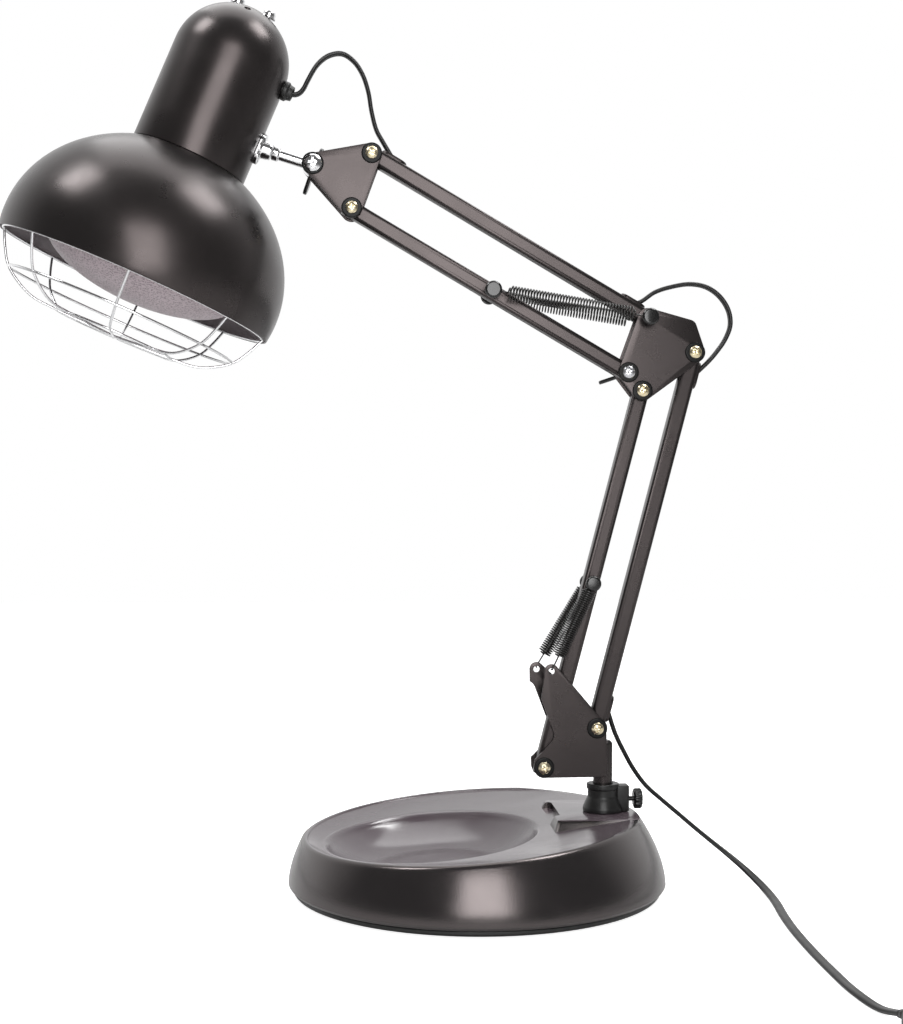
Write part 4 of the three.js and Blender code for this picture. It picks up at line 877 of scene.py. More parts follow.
class MakeBase(bpy.types.Operator):
    """Make the base: its skin with the dish, the landing with its pocket, and the notch."""

    bl_idname = "heat_lamp.base"
    bl_label = "Base"

    def execute(self, context):
        body = piece("base_body", [base_skin()], "base", "Base wall grain", ["base_shell"],
                     crease=30)
        wall = body.modifiers.new("wall", "SOLIDIFY")
        wall.thickness, wall.offset = 2.4 * MM, -1
        notch = slab(box_outline(12, 7, 2.2, (24.6, -34.6), 50), 20.0, 60.0)
        bored(body, [cutter("notch_tool", [notch])], 30)
        # Faces inside the rim take the top's finish, whose lightened colour is partly a painted reflection.
        flat_on = (of_faces(body, "center") / MM - TOP_FRAME[:3, 3]) @ TOP_FRAME[:3, :3]
        inside = np.hypot(*(flat_on[:, :2] - RIM_AT).T) < RECESS + 1.4
        dress_faces(body, ("Base wall grain", "Base top gloss with painted reflection"), inside)
        block = piece("base_landing", [landing_rows()], "base", "Soft black moulding",
                      ["base_shell"], crease=30, capped=True)
        inner = turned([[BASE_RADIUS - 3, 20.0], [BASE_RADIUS - 0.2, 20.0]]
                       + [[wall_radius(h) - 0.12, h] for h in np.linspace(21.0, 50.0, 16)], 180)
        keep = cutter("wall_tool", [inner])
        held = block.modifiers.new("held", "BOOLEAN")
        held.operation, held.solver, held.object = "INTERSECT", "EXACT", keep
        pocket = slab(box_outline(9.4, 44, 3.0, (46.6, 16)), 37.8, 60.0, edge=1.2)
        bored(block, [cutter("pocket_tool", [pocket])], 30)
        # Upward faces of the landing take the lighter top finish, partly a painted reflection, and its sides
        # stay dark.
        dress_faces(block, ("Base wall grain", "Base top gloss with painted reflection"), of_faces(block, "normal")[:, 2] > 0.9)
        mesh = keep.data
        bpy.data.objects.remove(keep)
        bpy.data.meshes.remove(mesh)
        return {"FINISHED"}


class MakeCover(bpy.types.Operator):
    """Make the cover under the base with its eight moulded feet."""

    bl_idname = "heat_lamp.cover"
    bl_label = "Base cover"

    def execute(self, context):
        rim = SEAM_RADIUS - 1.4
        tray = rounded([[0.01, 0.9], [23, 0.9], [24.2, 2.0], [rim - 3.2, 2.0], [rim - 0.8, 2.6], [rim, 3.6],
                        [rim, 5.5], [rim - 2.2, 5.6], [rim - 2.2, 4.4], [0.01, 4.4]], 0.5, 3)
        grids = [turned(tray, 128)]
        foot = rounded([[0.01, 0.0], [4.4, 0.0], [5.0, 0.7], [5.0, 3.2]], 0.4, 3)
        spots = np.radians(22.5 + 45 * np.arange(8))
        grids += [turned(foot, 32) + np.array([96 * math.cos(a), 96 * math.sin(a), 0.0]) for a in spots]
        boss = turned(rounded([[0.01, 0.0], [23.4, 0.0], [24.0, 0.6], [24.0, 2.4]], 0.3, 3), 96)
        piece("base_tray", grids + [boss], "base", "Soft black moulding", ["base_cover"],
              crease=34)
        return {"FINISHED"}


# Post, socket and knob.

def scallop(count, depth):
    """Wave of a knob's edge: 1 - depth sin^2(n a / 2)."""
    return lambda angle: 1 - depth * np.sin(count * angle / 2) ** 2


class MakeSocket(bpy.types.Operator):
    """Make the post, its flared socket with the clamp block, and the scalloped clamp knob."""

    bl_idname = "heat_lamp.socket"
    bl_label = "Post, socket and knob"

    def execute(self, context):
        at = place(at=(POST_X, ARM_Y, 0.0))
        foot, top = LANDING_HEIGHT + 0.3, 64.4
        skirt = foot + 8.5
        profile = rounded([[0.01, foot], [12.5, foot], [12.5, foot + 2.4], [10.5, skirt - 1.4],
                           [9.4, skirt + 0.6], [9.4, 60.8], [10.1, 61.2], [10.1, top], [6.3, top],
                           [6.3, foot + 2.0], [0.01, foot + 2.0]], 0.6, 4)
        piece("post_collar", [moved(turned(profile, 72), at)], "base", "Soft black moulding",
              ["post_socket"])
        ear = slab(box_outline(8.2, 10, 1.4, (11.9, 0)), foot + 0.1, 63.2, edge=0.8)
        block = mesh_of("clamp_block", [moved(ear, at)], capped=True)
        piece("clamp_block", block, "base", "Soft black moulding", ["post_socket"])
        rod = rounded([[0.01, foot + 2.3], [6.0, foot + 2.3], [6.0, 89.6], [4.4, 91.3], [0.01, 91.3]], 0.8, 4)
        piece("post", [moved(turned(rod, 48), at)], "lower_bracket", "Arm paint", ["post_rod"])
        self.knob()
        return {"FINISHED"}

    def knob(self):
        """Knob along X: a round screw and a head with twelve scallops, turned round its own axis."""
        across = place(90, (POST_X, ARM_Y, 54.4))
        head = rounded([[0.01, 19.1], [4.6, 19.1], [6.4, 20.0], [6.4, 23.6], [5.4, 24.5], [3.6, 24.5],
                        [3.2, 24.1], [0.01, 24.1]], 0.5, 4)
        screw = [[0.01, 6.8], [1.5, 6.8], [1.5, 19.2], [0.01, 19.2]]
        grids = [moved(turned(head, 96, scallop(12, 0.11)), across), moved(turned(screw, 24), across)]
        piece("thumb_knob", grids, "knob", "Gloss black", ["clamp_knob"])


# Head: socket cup, shade, guard, bulb and what carries them. Drawn standing on the shade's neck.

CUP_RADIUS, CUP_INSIDE, CUP_HEIGHT = 36.0, 34.9, 66.0
SHADE_RADIUS, RIM_DEPTH, BELLY_LIFT, SHADE_THROAT = 87.8, 82.5, 12.0, 33.0
BELLY_HEIGHT = BELLY_LIFT - RIM_DEPTH
NECK_RADIUS = CUP_RADIUS + 0.55
SHADE_RISE = -BELLY_HEIGHT / math.sqrt(1 - (NECK_RADIUS / SHADE_RADIUS) ** 2)
GUARD_MIDDLE, MIDDLE_DROP, GUARD_LOW, LOW_DROP = 72.5, 20.5, 37.5, 33
FACE_RADIUS, FACE_DROP, FACE_LIFT, BULB_NECK = 62.5, 11, 26, 17
SCREW_SEAT = CUP_HEIGHT + math.sqrt(CUP_RADIUS ** 2 - 6.2 ** 2) + 0.3


def bowl(inset, steps=40):
    """Shade wall as radius and height: an ellipse r = R cos t, h = belly + H sin t, from rim to neck."""
    low, high = -math.asin(BELLY_LIFT / SHADE_RISE), math.acos(NECK_RADIUS / SHADE_RADIUS)
    t = np.linspace(low, high, steps)
    return np.column_stack([(SHADE_RADIUS - inset) * np.cos(t),
                            BELLY_HEIGHT + (SHADE_RISE - inset) * np.sin(t)])


def bulb_skin():
    """Bulb as radius and height: an elliptic face, then a shoulder that eases into the neck by a cosine."""
    belly = -RIM_DEPTH - FACE_DROP + FACE_LIFT
    a = np.linspace(0, math.pi / 2, 26)
    face = np.column_stack([FACE_RADIUS * np.sin(a), belly - FACE_LIFT * np.cos(a)])
    share = np.linspace(0, 1, 26)[1:]
    swell = (FACE_RADIUS - BULB_NECK) * (1 + np.cos(math.pi * share)) / 2
    cone = np.column_stack([BULB_NECK + swell, belly + (40 - belly) * share])
    return face, np.vstack([face[-1:], cone, [[13.2, 43.6]]])


def ring_wire(radius, height, wire, segments=128):
    """Round wire bent into a ring: its section turned round Z."""
    a = np.linspace(TAU, 0, 13)
    return turned(np.column_stack([radius + wire / 2 * np.cos(a), height + wire / 2 * np.sin(a)])[::-1],
                  segments)


class MakeCup(bpy.types.Operator):
    """Make the socket cup with its vents and holes, the dome screws and the lead's grommet."""

    bl_idname = "heat_lamp.cup"
    bl_label = "Socket cup"

    def execute(self, context):
        a = np.linspace(0, math.pi / 2, 24)
        outer = np.column_stack([CUP_RADIUS * np.cos(a), CUP_HEIGHT + CUP_RADIUS * np.sin(a)])
        inner = np.column_stack([CUP_INSIDE * np.cos(a), CUP_HEIGHT + CUP_INSIDE * np.sin(a)])[::-1]
        outer[-1, 0] = inner[0, 0] = 0.01
        foot = rounded([[CUP_INSIDE, 20.0], [CUP_INSIDE, 0.4], [CUP_RADIUS, 0.4], [CUP_RADIUS, 20.0]], 0.35,
                       3)
        rise = np.linspace(20, CUP_HEIGHT, 12)[1:-1]
        wall_up = np.column_stack([np.full(10, CUP_RADIUS), rise])
        wall_down = np.column_stack([np.full(10, CUP_INSIDE), rise[::-1]])
        skin = turned(np.vstack([foot, wall_up, outer, inner, wall_down]), 144)
        cup = piece("socket_cup_skin", [moved(skin, HEAD)], "head", "Satin black paint",
                    ["socket_cup"], crease=34)
        spots = np.radians(60 * (np.arange(6) + 0.5))
        hole = turned([[2.1, 62.0], [2.1, 110.0]], 24)
        holes = [hole + np.array([19 * math.cos(s), 19 * math.sin(s), 0]) for s in spots]
        side = moved(turned([[4.7, 20.0], [4.7, 50.0]], 32), place(90, (0, 0, 64)))
        bored(cup, [cutter(f"vent_tool_{i}", [moved(h, HEAD)]) for i, h in enumerate(holes + [side])], 34)
        self.screws()
        self.gland()
        return {"FINISHED"}

    def screws(self):
        """Two cap nuts on the dome, each a round body with a domed end on a threaded shaft."""
        for index, side in enumerate((1, -1)):
            at = HEAD @ place(at=(side * 10.2, 0, SCREW_SEAT))
            cap = rounded([[0.01, 0.0], [4.0, 0.0], [4.0, 2.4], [3.2, 3.9], [1.6, 4.2], [0.01, 4.2]], 0.5, 4)
            washer = rounded([[0.01, -0.5], [4.6, -0.5], [4.6, 0.2], [0.01, 0.2]], 0.15, 2)
            pitch = np.linspace(-20, -0.4, 80)
            shaft = np.column_stack([1.7 + 0.14 * np.cos(TAU * pitch / 0.8), pitch])
            grids = [moved(turned(cap, 40), at), moved(turned(washer, 40), at),
                     moved(turned(np.vstack([[[0.01, -20]], shaft]), 20), at)]
            piece(f"dome_cap_{index + 1}", grids, "head", "Chrome", [f"dome_screw_{index + 1}"])

    def gland(self):
        """Rubber grommet where the lead comes out of the cup: a flanged bush with a short tapered boot."""
        bush = rounded([[3.3, 33.8], [4.6, 33.8], [4.6, 36.3], [6.0, 36.3], [6.0, 38.6], [4.9, 39.6],
                        [4.4, 42.3], [3.2, 42.3], [3.2, 33.8]], 0.35, 3)
        piece("lead_grommet", [moved(turned(bush, 48), HEAD @ place(90, (0, 0, 64)))], "head",
              "Soft black moulding", ["lead_gland"])


class MakeShade(bpy.types.Operator):
    """Make the bowl shade: a painted outside with a rolled rim, and a pale inside."""

    bl_idname = "heat_lamp.shade"
    bl_label = "Shade"

    def execute(self, context):
        outer, inner = bowl(0.0), bowl(0.9)[::-1]
        roll = rounded([inner[-2], inner[-1] + [-0.3, -0.5], outer[0] + [-0.6, -0.9], outer[0] + [0.0, -0.5],
                        outer[1]], 0.4, 3)
        throat = rounded([outer[-2], [NECK_RADIUS, 0.0], [SHADE_THROAT, 0.0], [SHADE_THROAT, -0.9], inner[1]],
                         0.6, 4)
        skin = turned(np.vstack([outer[2:-2], throat, inner[2:-2], roll, outer[2:3]]), 192)
        made = piece("shade_bowl", [moved(skin, HEAD)], "head", "Satin black paint", ["shade"],
                     crease=34)
        made.data.materials.append(dressed("Inner shade coat"))
        rows = np.arange(len(made.data.polygons)) // 192
        first = len(outer) - 4 + len(throat)
        inside = (rows >= first) & (rows < first + len(inner) - 2)
        made.data.polygons.foreach_set("material_index", inside.astype(np.int32))
        return {"FINISHED"}


class MakeGuard(bpy.types.Operator):
    """Make the wire guard: a rim ring, two lower rings, and four wires that run right across."""

    bl_idname = "heat_lamp.guard"
    bl_label = "Wire guard"

    def execute(self, context):
        wire = context.scene.heat_lamp_sizes.guard_wire / MM
        rim = bowl(0.9)[0][0] * math.cos(math.pi / 26) - 1.3
        middle, low = -RIM_DEPTH - MIDDLE_DROP, -RIM_DEPTH - LOW_DROP
        half = [[rim, -RIM_DEPTH], [(rim + GUARD_MIDDLE) / 2 + 1, (middle - RIM_DEPTH) / 2],
                [GUARD_MIDDLE, middle], [55, low + 2], [GUARD_LOW, low]]
        points = np.array(half + [[0, low - 1]] + [[-r, z] for r, z in half[::-1]])
        path = even(route(np.column_stack([points[:, 0], np.zeros(11), points[:, 1]]), 16), 2.5)
        grids = [ring_wire(rim, -RIM_DEPTH, wire * 1.15), ring_wire(GUARD_MIDDLE, middle, wire),
                 ring_wire(GUARD_LOW, low, wire)]
        crossing = swept(path, Y_AXIS, oval(wire, wire, 10))
        grids += [moved(crossing, place(turn_z=6 + 45 * i)) for i in range(4)]
        made = mesh_of("guard_wires", [moved(grid, HEAD) for grid in grids])
        piece("guard_wires", made, "head", "Chrome", ["guard"], crease=60)
        return {"FINISHED"}


class MakeBulb(bpy.types.Operator):
    """Make the reflector bulb with its frosted face and screw cap, and the porcelain lampholder."""

    bl_idname = "heat_lamp.bulb"
    bl_label = "Bulb and lampholder"

    def execute(self, context):
        face, cone = bulb_skin()
        face[0, 0] = 0.01
        turn = np.linspace(43.6, 66, 110)
        thread = np.column_stack([12.4 + 0.55 * np.cos(TAU * turn / 3.6), turn])
        end = rounded([[12.4, 66.2], [11.6, 68.4], [4.6, 71.2], [4.4, 72.0], [0.01, 72.0]], 0.5, 3)
        piece("bulb_face", [moved(turned(face, 128), HEAD)], "head", "Frosted glass",
              ["bulb"])
        piece("bulb_reflector", [moved(turned(cone, 128), HEAD)], "head", "Silvered glass",
              ["bulb"])
        piece("bulb_cap", [moved(turned(np.vstack([thread, end]), 48), HEAD)], "head", "Brass",
              ["bulb"])
        body = rounded([[0.01, 74.0], [13.4, 74.0], [13.4, 44.8], [18.6, 44.8], [21.0, 47.0], [21.0, 66.0],
                        [18.8, 68.4], [18.8, 86.4], [17.2, 88.0], [0.01, 88.0]], 1.0, 4)
        piece("holder_body", [moved(turned(body, 96), HEAD)], "head", "Porcelain",
              ["lampholder"])
        return {"FINISHED"}


class MakeStem(bpy.types.Operator):
    """Make the plated stem with its clamp eye, and the half-moon saddle on the cup."""

    bl_idname = "heat_lamp.stem"
    bl_label = "Stem and saddle"

    def execute(self, context):
        rod = rounded([[0.01, 0.0], [3.2, 0.0], [3.4, 7.0], [3.4, 21.4], [4.5, 22.0], [4.5, 25.6],
                       [3.6, 26.2], [0.01, 26.2]], 0.5, 4)
        eye = rounded([[2.3, -5.2], [5.6, -5.2], [6.6, -4.2], [6.6, 4.2], [5.6, 5.2], [2.3, 5.2],
                       [2.3, -5.2]], 0.5, 4)
        grids = [moved(turned(rod, 48), STEM @ place(90)), moved(turned(eye, 56), STEM @ place(**ACROSS))]
        piece("stem_rod", grids, "stem", "Chrome", ["head_stem"])
        angle = np.linspace(-1, 1, 33)
        half_width, half_height = 5.5, 10.0
        column = np.degrees(half_width * angle / 36.3)
        reach = half_height * np.sqrt(np.clip(1 - (angle * 0.86) ** 2, 0, 1))
        row = np.linspace(-1, 1, 25)[:, None] * reach[None, :] + 25.0
        outer, inner = 39.3, 36.35
        edge = np.maximum(np.abs(np.linspace(-1, 1, 25))[:, None], np.abs(angle)[None, :])
        crown = outer - 1.0 * np.clip((edge - 0.7) / 0.3, 0, 1) ** 2
        spin = np.radians(column)[None, :]
        front = np.stack([crown * np.cos(spin), crown * np.sin(spin), row], axis=-1)
        back = np.stack([np.full_like(row, inner) * np.cos(spin), np.full_like(row, inner) * np.sin(spin),
                         row], axis=-1)
        rim = np.concatenate([front[0], front[1:, -1], front[-1, -2::-1], front[-2:0:-1, 0]])
        under = np.concatenate([back[0], back[1:, -1], back[-1, -2::-1], back[-2:0:-1, 0]])
        boss = rounded([[0.01, 1.0], [6.6, 1.0], [5.6, 3.0], [5.4, 6.0], [5.0, 8.5], [4.2, 8.7], [3.6, 8.2],
                        [0.01, 8.2]], 0.6, 4)
        boss_at = HEAD @ place(at=(36, 0, 25)) @ place(STEM_DROP - HEAD_TILT) @ place(90)
        mesh = mesh_of("saddle_plate", [moved(front, HEAD), moved(back[:, ::-1], HEAD)], around=False)
        side = mesh_of("saddle_side", [moved(np.stack([under, rim]), HEAD), moved(turned(boss, 48), boss_at)])
        piece("saddle_plate", joined_mesh(mesh, side), "head", "Chrome", ["saddle"])
        return {"FINISHED"}


# Arms: cheek plates, bolts, wing nuts, pins, tubes and springs, drawn in the plane of the arms.

PLATE = 1.5


def disc(at, radius):
    """A circle of a belt, from a place in the plane of the arms."""
    return [at[0], at[1], radius]


def plate_circles(name, end):
    """Circles that a cheek plate's outline runs round, for the front or the rear plate."""
    if name == "lower":
        return [disc(FRONT_PIVOT, 6.4), disc(REAR_PIVOT, 5.8), disc(EAR[end], 4.4),
                disc(FRONT_PIVOT + [37.4, -3.8], 2.4)]
    if name == "elbow":
        corner = REAR_TOP + [-3.8, 15.5]
        return [disc(at, 6.4) for at in (UPPER_PIVOT, REAR_TOP, FRONT_TOP, LOW_PIVOT)] + [disc(corner, 5.0)]
    return [disc(at, 6.4) for at in (CLAMP, HEAD_TOP, HEAD_LOW)]


class MakePlates(bpy.types.Operator):
    """Make the three pairs of cheek plates with eased edges and drilled holes."""

    bl_idname = "heat_lamp.plates"
    bl_label = "Cheek plates"

    def execute(self, context):
        edge = context.scene.heat_lamp_sizes.edge / MM
        brackets = [("lower", 6.3, [FRONT_PIVOT, REAR_PIVOT]), ("elbow", 5.5,
                                                                [UPPER_PIVOT, REAR_TOP, FRONT_TOP,
                                                                 LOW_PIVOT]), ("head", 5.5,
                                                                     [CLAMP, HEAD_TOP, HEAD_LOW])]
        for name, gap, holes in brackets:
            for end, word in ((-1, "front"), (1, "rear")):
                low, high = sorted((-end * gap, -end * (gap + PLATE)))
                outline = belted(plate_circles(name, end), 240)
                made = piece(f"{name}_cheek_{word}", [lying(slab(outline, low, high, edge))],
                             name + ("_bracket" if name != "elbow" else ""), "Plate paint",
                             [f"{name}_plate_{word}"], crease=40, capped=True)
                drills = [(at, 2.3) for at in holes] + ([(EAR[end], 2.0)] if name == "lower" else [])
                tools = [cutter("drill_tool", [self.drill(at, r)]) for at, r in drills]
                if name == "lower":
                    ways = [([0, 20.1], 6.3), ([-12.2, 13.6], 10.6), ([-10.3, 45.8], 6.9)]
                    notch = [disc(FRONT_PIVOT + way, r) for way, r in ways]
                    tools.append(cutter("notch_tool", [lying(slab(belted(notch, 200), -12, 12, 0.0))]))
                bored(made, tools, 40)
        return {"FINISHED"}

    def drill(self, at, radius):
        """Round tool through both plates."""
        return moved(turned([[radius, -12.0], [radius, 12.0]], 40), place(at=in_arms(at), **ACROSS))


def cross_head(radius, height, recess, half_width, half_length, segments=96):
    """Domed head with a cross recess: each point sinks where the lesser of |x| and |y| is within the slot."""
    r = np.concatenate([np.linspace(0.02, 0.86, 26), [0.93, 0.98, 1.0]]) * radius
    dome = height * (1 - 0.62 * (r / radius) ** 2.6)
    grid = turned(np.column_stack([r, dome]), segments)
    x, y = np.abs(grid[..., 0]), np.abs(grid[..., 1])
    arm = np.clip((half_width - np.minimum(x, y)) / 0.28, 0, 1)
    arm *= np.clip((half_length - np.maximum(x, y)) / 0.45, 0, 1)
    taper = 1 - 0.45 * np.maximum(x, y) / half_length
    grid[..., 2] -= recess * eased(arm) * np.clip(taper, 0.3, 1)
    return grid


def hexagon(angle):
    """Wave that turns a circle into a hexagon: cos 30 / cos of the angle to the nearest flat's middle."""
    return math.cos(math.radians(30)) / np.cos((angle + math.pi / 6) % (math.pi / 3) - math.pi / 6)


class MakeBolts(bpy.types.Operator):
    """Make the pivot bolts with cross-recessed heads on dark rings, their lock nuts, and the wing nuts."""

    bl_idname = "heat_lamp.bolts"
    bl_label = "Bolts and wing nuts"

    def execute(self, context):
        bolts = [("lower_front_bolt", FRONT_PIVOT, WIDE_FACE, "Yellow zinc", "lower_bracket", 20),
                 ("lower_rear_bolt", REAR_PIVOT, WIDE_FACE, "Yellow zinc", "lower_bracket", 65),
                 ("elbow_low_bolt", FRONT_TOP, NARROW_FACE, "Yellow zinc", "elbow", 10),
                 ("elbow_rear_bolt", REAR_TOP, NARROW_FACE, "Yellow zinc", "elbow", 48),
                 ("elbow_clamp_bolt", LOW_PIVOT, NARROW_FACE, "Bright zinc", "elbow", 30),
                 ("head_top_bolt", HEAD_TOP, NARROW_FACE, "Yellow zinc", "head_bracket", 35),
                 ("head_low_bolt", HEAD_LOW, NARROW_FACE, "Yellow zinc", "head_bracket", 5)]
        recess = context.scene.heat_lamp_sizes.recess_depth / MM
        for name, at, face, plating, body, turn in bolts:
            self.bolt(name, at, face, plating, body, turn, recess)
        self.clamp_bolt()
        self.wing_nut("elbow_wing_nut", LOW_PIVOT, 198, "elbow_nut")
        self.wing_nut("head_wing_nut", CLAMP, 68, "head_nut")
        return {"FINISHED"}

    def bolt(self, name, at, face, plating, body, turn, recess):
        """One bolt: the head in front, on a dark ring, and its shaft through to the nut behind."""
        ring = face + 0.3 + 0.8
        front = place(at=in_arms(at, -ring), turn_x=90) @ place(turn_z=turn)
        back = place(at=in_arms(at), **ACROSS)
        head = cross_head(3.75, 2.2, recess, 0.62, 2.4)
        skirt = turned([[3.75, 0.84], [3.75, 0.0], [2.0, -0.1]], 96)[::-1]
        lock = face + 0.3
        nut = turned(rounded([[2.0, lock], [3.0, lock], [3.6, lock + 0.3], [3.6, lock + 2.3],
                              [2.8, lock + 3.0], [2.0, lock + 3.0]], 0.25, 3), 48, hexagon)
        shaft = turned([[0.01, -face], [1.95, -face], [1.95, lock + 3.9], [1.6, lock + 4.2],
                        [0.01, lock + 4.2]], 24)
        grids = [moved(head[::-1], front), moved(skirt, front), moved(shaft, back)]
        if name != "elbow_clamp_bolt":
            grids.append(moved(nut, back))
        piece(name + "_screw", grids, body, plating, [name])
        washer = rounded([[1.9, -ring], [3.9, -ring], [5.6, -ring], [6.2, -ring + 0.2], [6.4, -ring + 0.8],
                          [1.9, -ring + 0.8], [1.9, -ring]], 0.15, 3)
        piece(name + "_ring", [moved(turned(washer, 56), back)], body, "Ring black", [name])

    def clamp_bolt(self):
        """Large domed bolt that clamps the stem's eye, on a dark ring."""
        ring = NARROW_FACE + 0.3 + 0.8
        front, back = place(at=in_arms(CLAMP, -ring), turn_x=90), place(at=in_arms(CLAMP), **ACROSS)
        head = cross_head(5.4, 3.4, 1.2, 0.8, 3.0)
        skirt = turned([[5.4, 1.3], [5.4, 0.2], [2.0, 0.0]], 96)[::-1]
        shaft = turned([[0.01, -7.0], [1.95, -7.0], [1.95, 14.0], [0.01, 14.0]], 24)
        piece("head_clamp_screw", [moved(head[::-1], front), moved(skirt, front), moved(shaft, back)],
              "head_bracket", "Chrome", ["head_clamp_bolt"])
        washer = rounded([[1.9, -ring], [6.0, -ring], [6.8, -ring + 0.3], [6.8, -ring + 0.8],
                          [1.9, -ring + 0.8], [1.9, -ring]], 0.15, 3)
        piece("head_clamp_ring", [moved(turned(washer, 56), back)], "head_bracket",
              "Ring black", ["head_clamp_bolt"])

    def wing_nut(self, name, at, turn, body):
        """Wing nut behind a bracket: a plated hub and two black lobes that rise away from it."""
        foot = NARROW_FACE + 0.3
        stand = place(-turn, in_arms(at))
        hub = turned(rounded([[2.3, foot], [4.6, foot], [4.6, foot + 3.6], [3.8, foot + 5.5],
                              [2.3, foot + 5.5], [2.3, foot]], 0.4, 3), 48)
        piece(name + "_hub", [moved(hub, stand @ place(**ACROSS))], body, "Chrome", [name])
        grids = []
        for side in (1, -1):
            lobe = belted([[side * 10.9, foot + 9.3, 4.6], [side * 4.3, foot + 2.8, 2.4]], 72)
            grids.append(moved(slab(lobe, -1.2, 1.2, 0.7, 4), stand))
        piece(name + "_wings", grids, body, "Gloss black", [name], capped=True)


def tube_frame(at, angle):
    """Frame of an arm tube: Z along it from its pivot, X towards its outer wall."""
    return place(90 - angle, in_arms(at))


class MakeTubes(bpy.types.Operator):
    """Make the four square arm tubes with round corners, open ends and raised slots for the lead."""

    bl_idname = "heat_lamp.tubes"
    bl_label = "Arm tubes"

    def execute(self, context):
        self.tube("lower_rear_tube", REAR_PIVOT, LOWER_LEAN, LOWER_LENGTH, [], True, "lower_rear")
        self.tube("lower_front_tube", FRONT_PIVOT, LOWER_LEAN, LOWER_LENGTH, [118], False, "lower_front")
        self.tube("upper_top_tube", UPPER_PIVOT, UPPER_LEAN, UPPER_LENGTH, [], True, "upper_top")
        self.tube("upper_low_tube", LOW_PIVOT, UPPER_LEAN, UPPER_LENGTH, [98.6], False, "upper_low")
        return {"FINISHED"}

    def tube(self, name, at, angle, span, pins, slots, body):
        """One tube: its section carried along, then the drillings and slots cut out."""
        stand = tube_frame(at, angle)
        low, high = -4.8, span + 4.8
        outer, inner = box_outline(10, 10, 1.7, steps=56), box_outline(8.2, 8.2, 0.9, steps=56)
        rows = [(outer * 0.985, low), (outer, low + 0.12), (outer, high - 0.12), (outer * 0.985, high),
                (inner, high), (inner, low), (outer * 0.985, low)]
        bar = np.stack([np.column_stack([section, np.full(56, height)]) for section, height in rows])
        made = piece(name + "_bar", [moved(bar, stand)], body, "Arm paint", [name], crease=50)
        across = [place(at=(0, 0, height), turn_x=-90) for height in (0, span, *pins)]
        tools = [moved(turned([[2.3, -12.0], [2.3, 12.0]], 32), stand @ way) for way in across]
        places = [13.0, span - 13.0] if slots else []
        oblong = [moved(slab(self.stadium(13, 6.8), -2.0, 12.0, 0.0),
                        stand @ self.outward(h)) for h in places]
        bored(made, [cutter("bore_tool", [tool]) for tool in tools + oblong], 50)
        if places:
            rims = [self.rim(stand @ self.outward(h)) for h in places]
            piece(name + "_slots", rims, body, "Arm paint", [name], crease=50)

    def stadium(self, long, wide):
        """Oblong with round ends, long way along the tube."""
        half = (long - wide) / 2
        return belted([[0, half, wide / 2], [0, -half, wide / 2]], 56)

    def outward(self, height):
        """Frame on the tube's outer wall: Z out of the wall, Y along the tube."""
        return place(at=(0, 0, height)) @ np.array([[0, 0, 1, 0], [1, 0, 0, 0], [0, 1, 0, 0], [0, 0, 0, 1]],
                                                   float)

    def rim(self, stand):
        """Raised rim of a slot: a low wall that follows the oblong, closed on itself."""
        levels = [(13.0, 6.8, 4.3), (13.0, 6.8, 6.1), (13.5, 7.2, 6.4), (16.4, 8.2, 6.4), (17.0, 8.6, 6.0),
                  (17.0, 8.6, 4.3), (13.0, 6.8, 4.3)]
        rows = np.stack([np.column_stack([self.stadium(long, wide), np.full(56, h)]) for long, wide,
                         h in levels])
        return moved(rows[::-1], stand)


class MakePins(bpy.types.Operator):
    """Make the spring pins with a broad cap at each end."""

    bl_idname = "heat_lamp.pins"
    bl_label = "Spring pins"

    def execute(self, context):
        pins = [("elbow_spring_pin", UPPER_PIVOT, 12.6, 5.3, "elbow"),
                ("upper_spring_pin", UPPER_PIN, 12.6, 5.3, "upper_low"),
                ("lower_spring_pin", LOWER_PIN, 9.8, 4.8, "lower_front")]
        for name, at, offset, cap, body in pins:
            inner, outer = offset + 2.0, offset + 4.4
            half = rounded([[1.9, 0.0], [1.9, inner], [cap, inner], [cap, outer - 0.9], [cap * 0.8, outer],
                            [0.01, outer]], 0.5, 4)
            both = np.vstack([half[::-1] * [1, -1], half[1:]])
            both[0, 0] = both[-1, 0] = 0.01
            piece(name + "_stud", [moved(turned(both, 48), place(at=in_arms(at), **ACROSS))], body,
                  "Gloss black", [name])
        return {"FINISHED"}


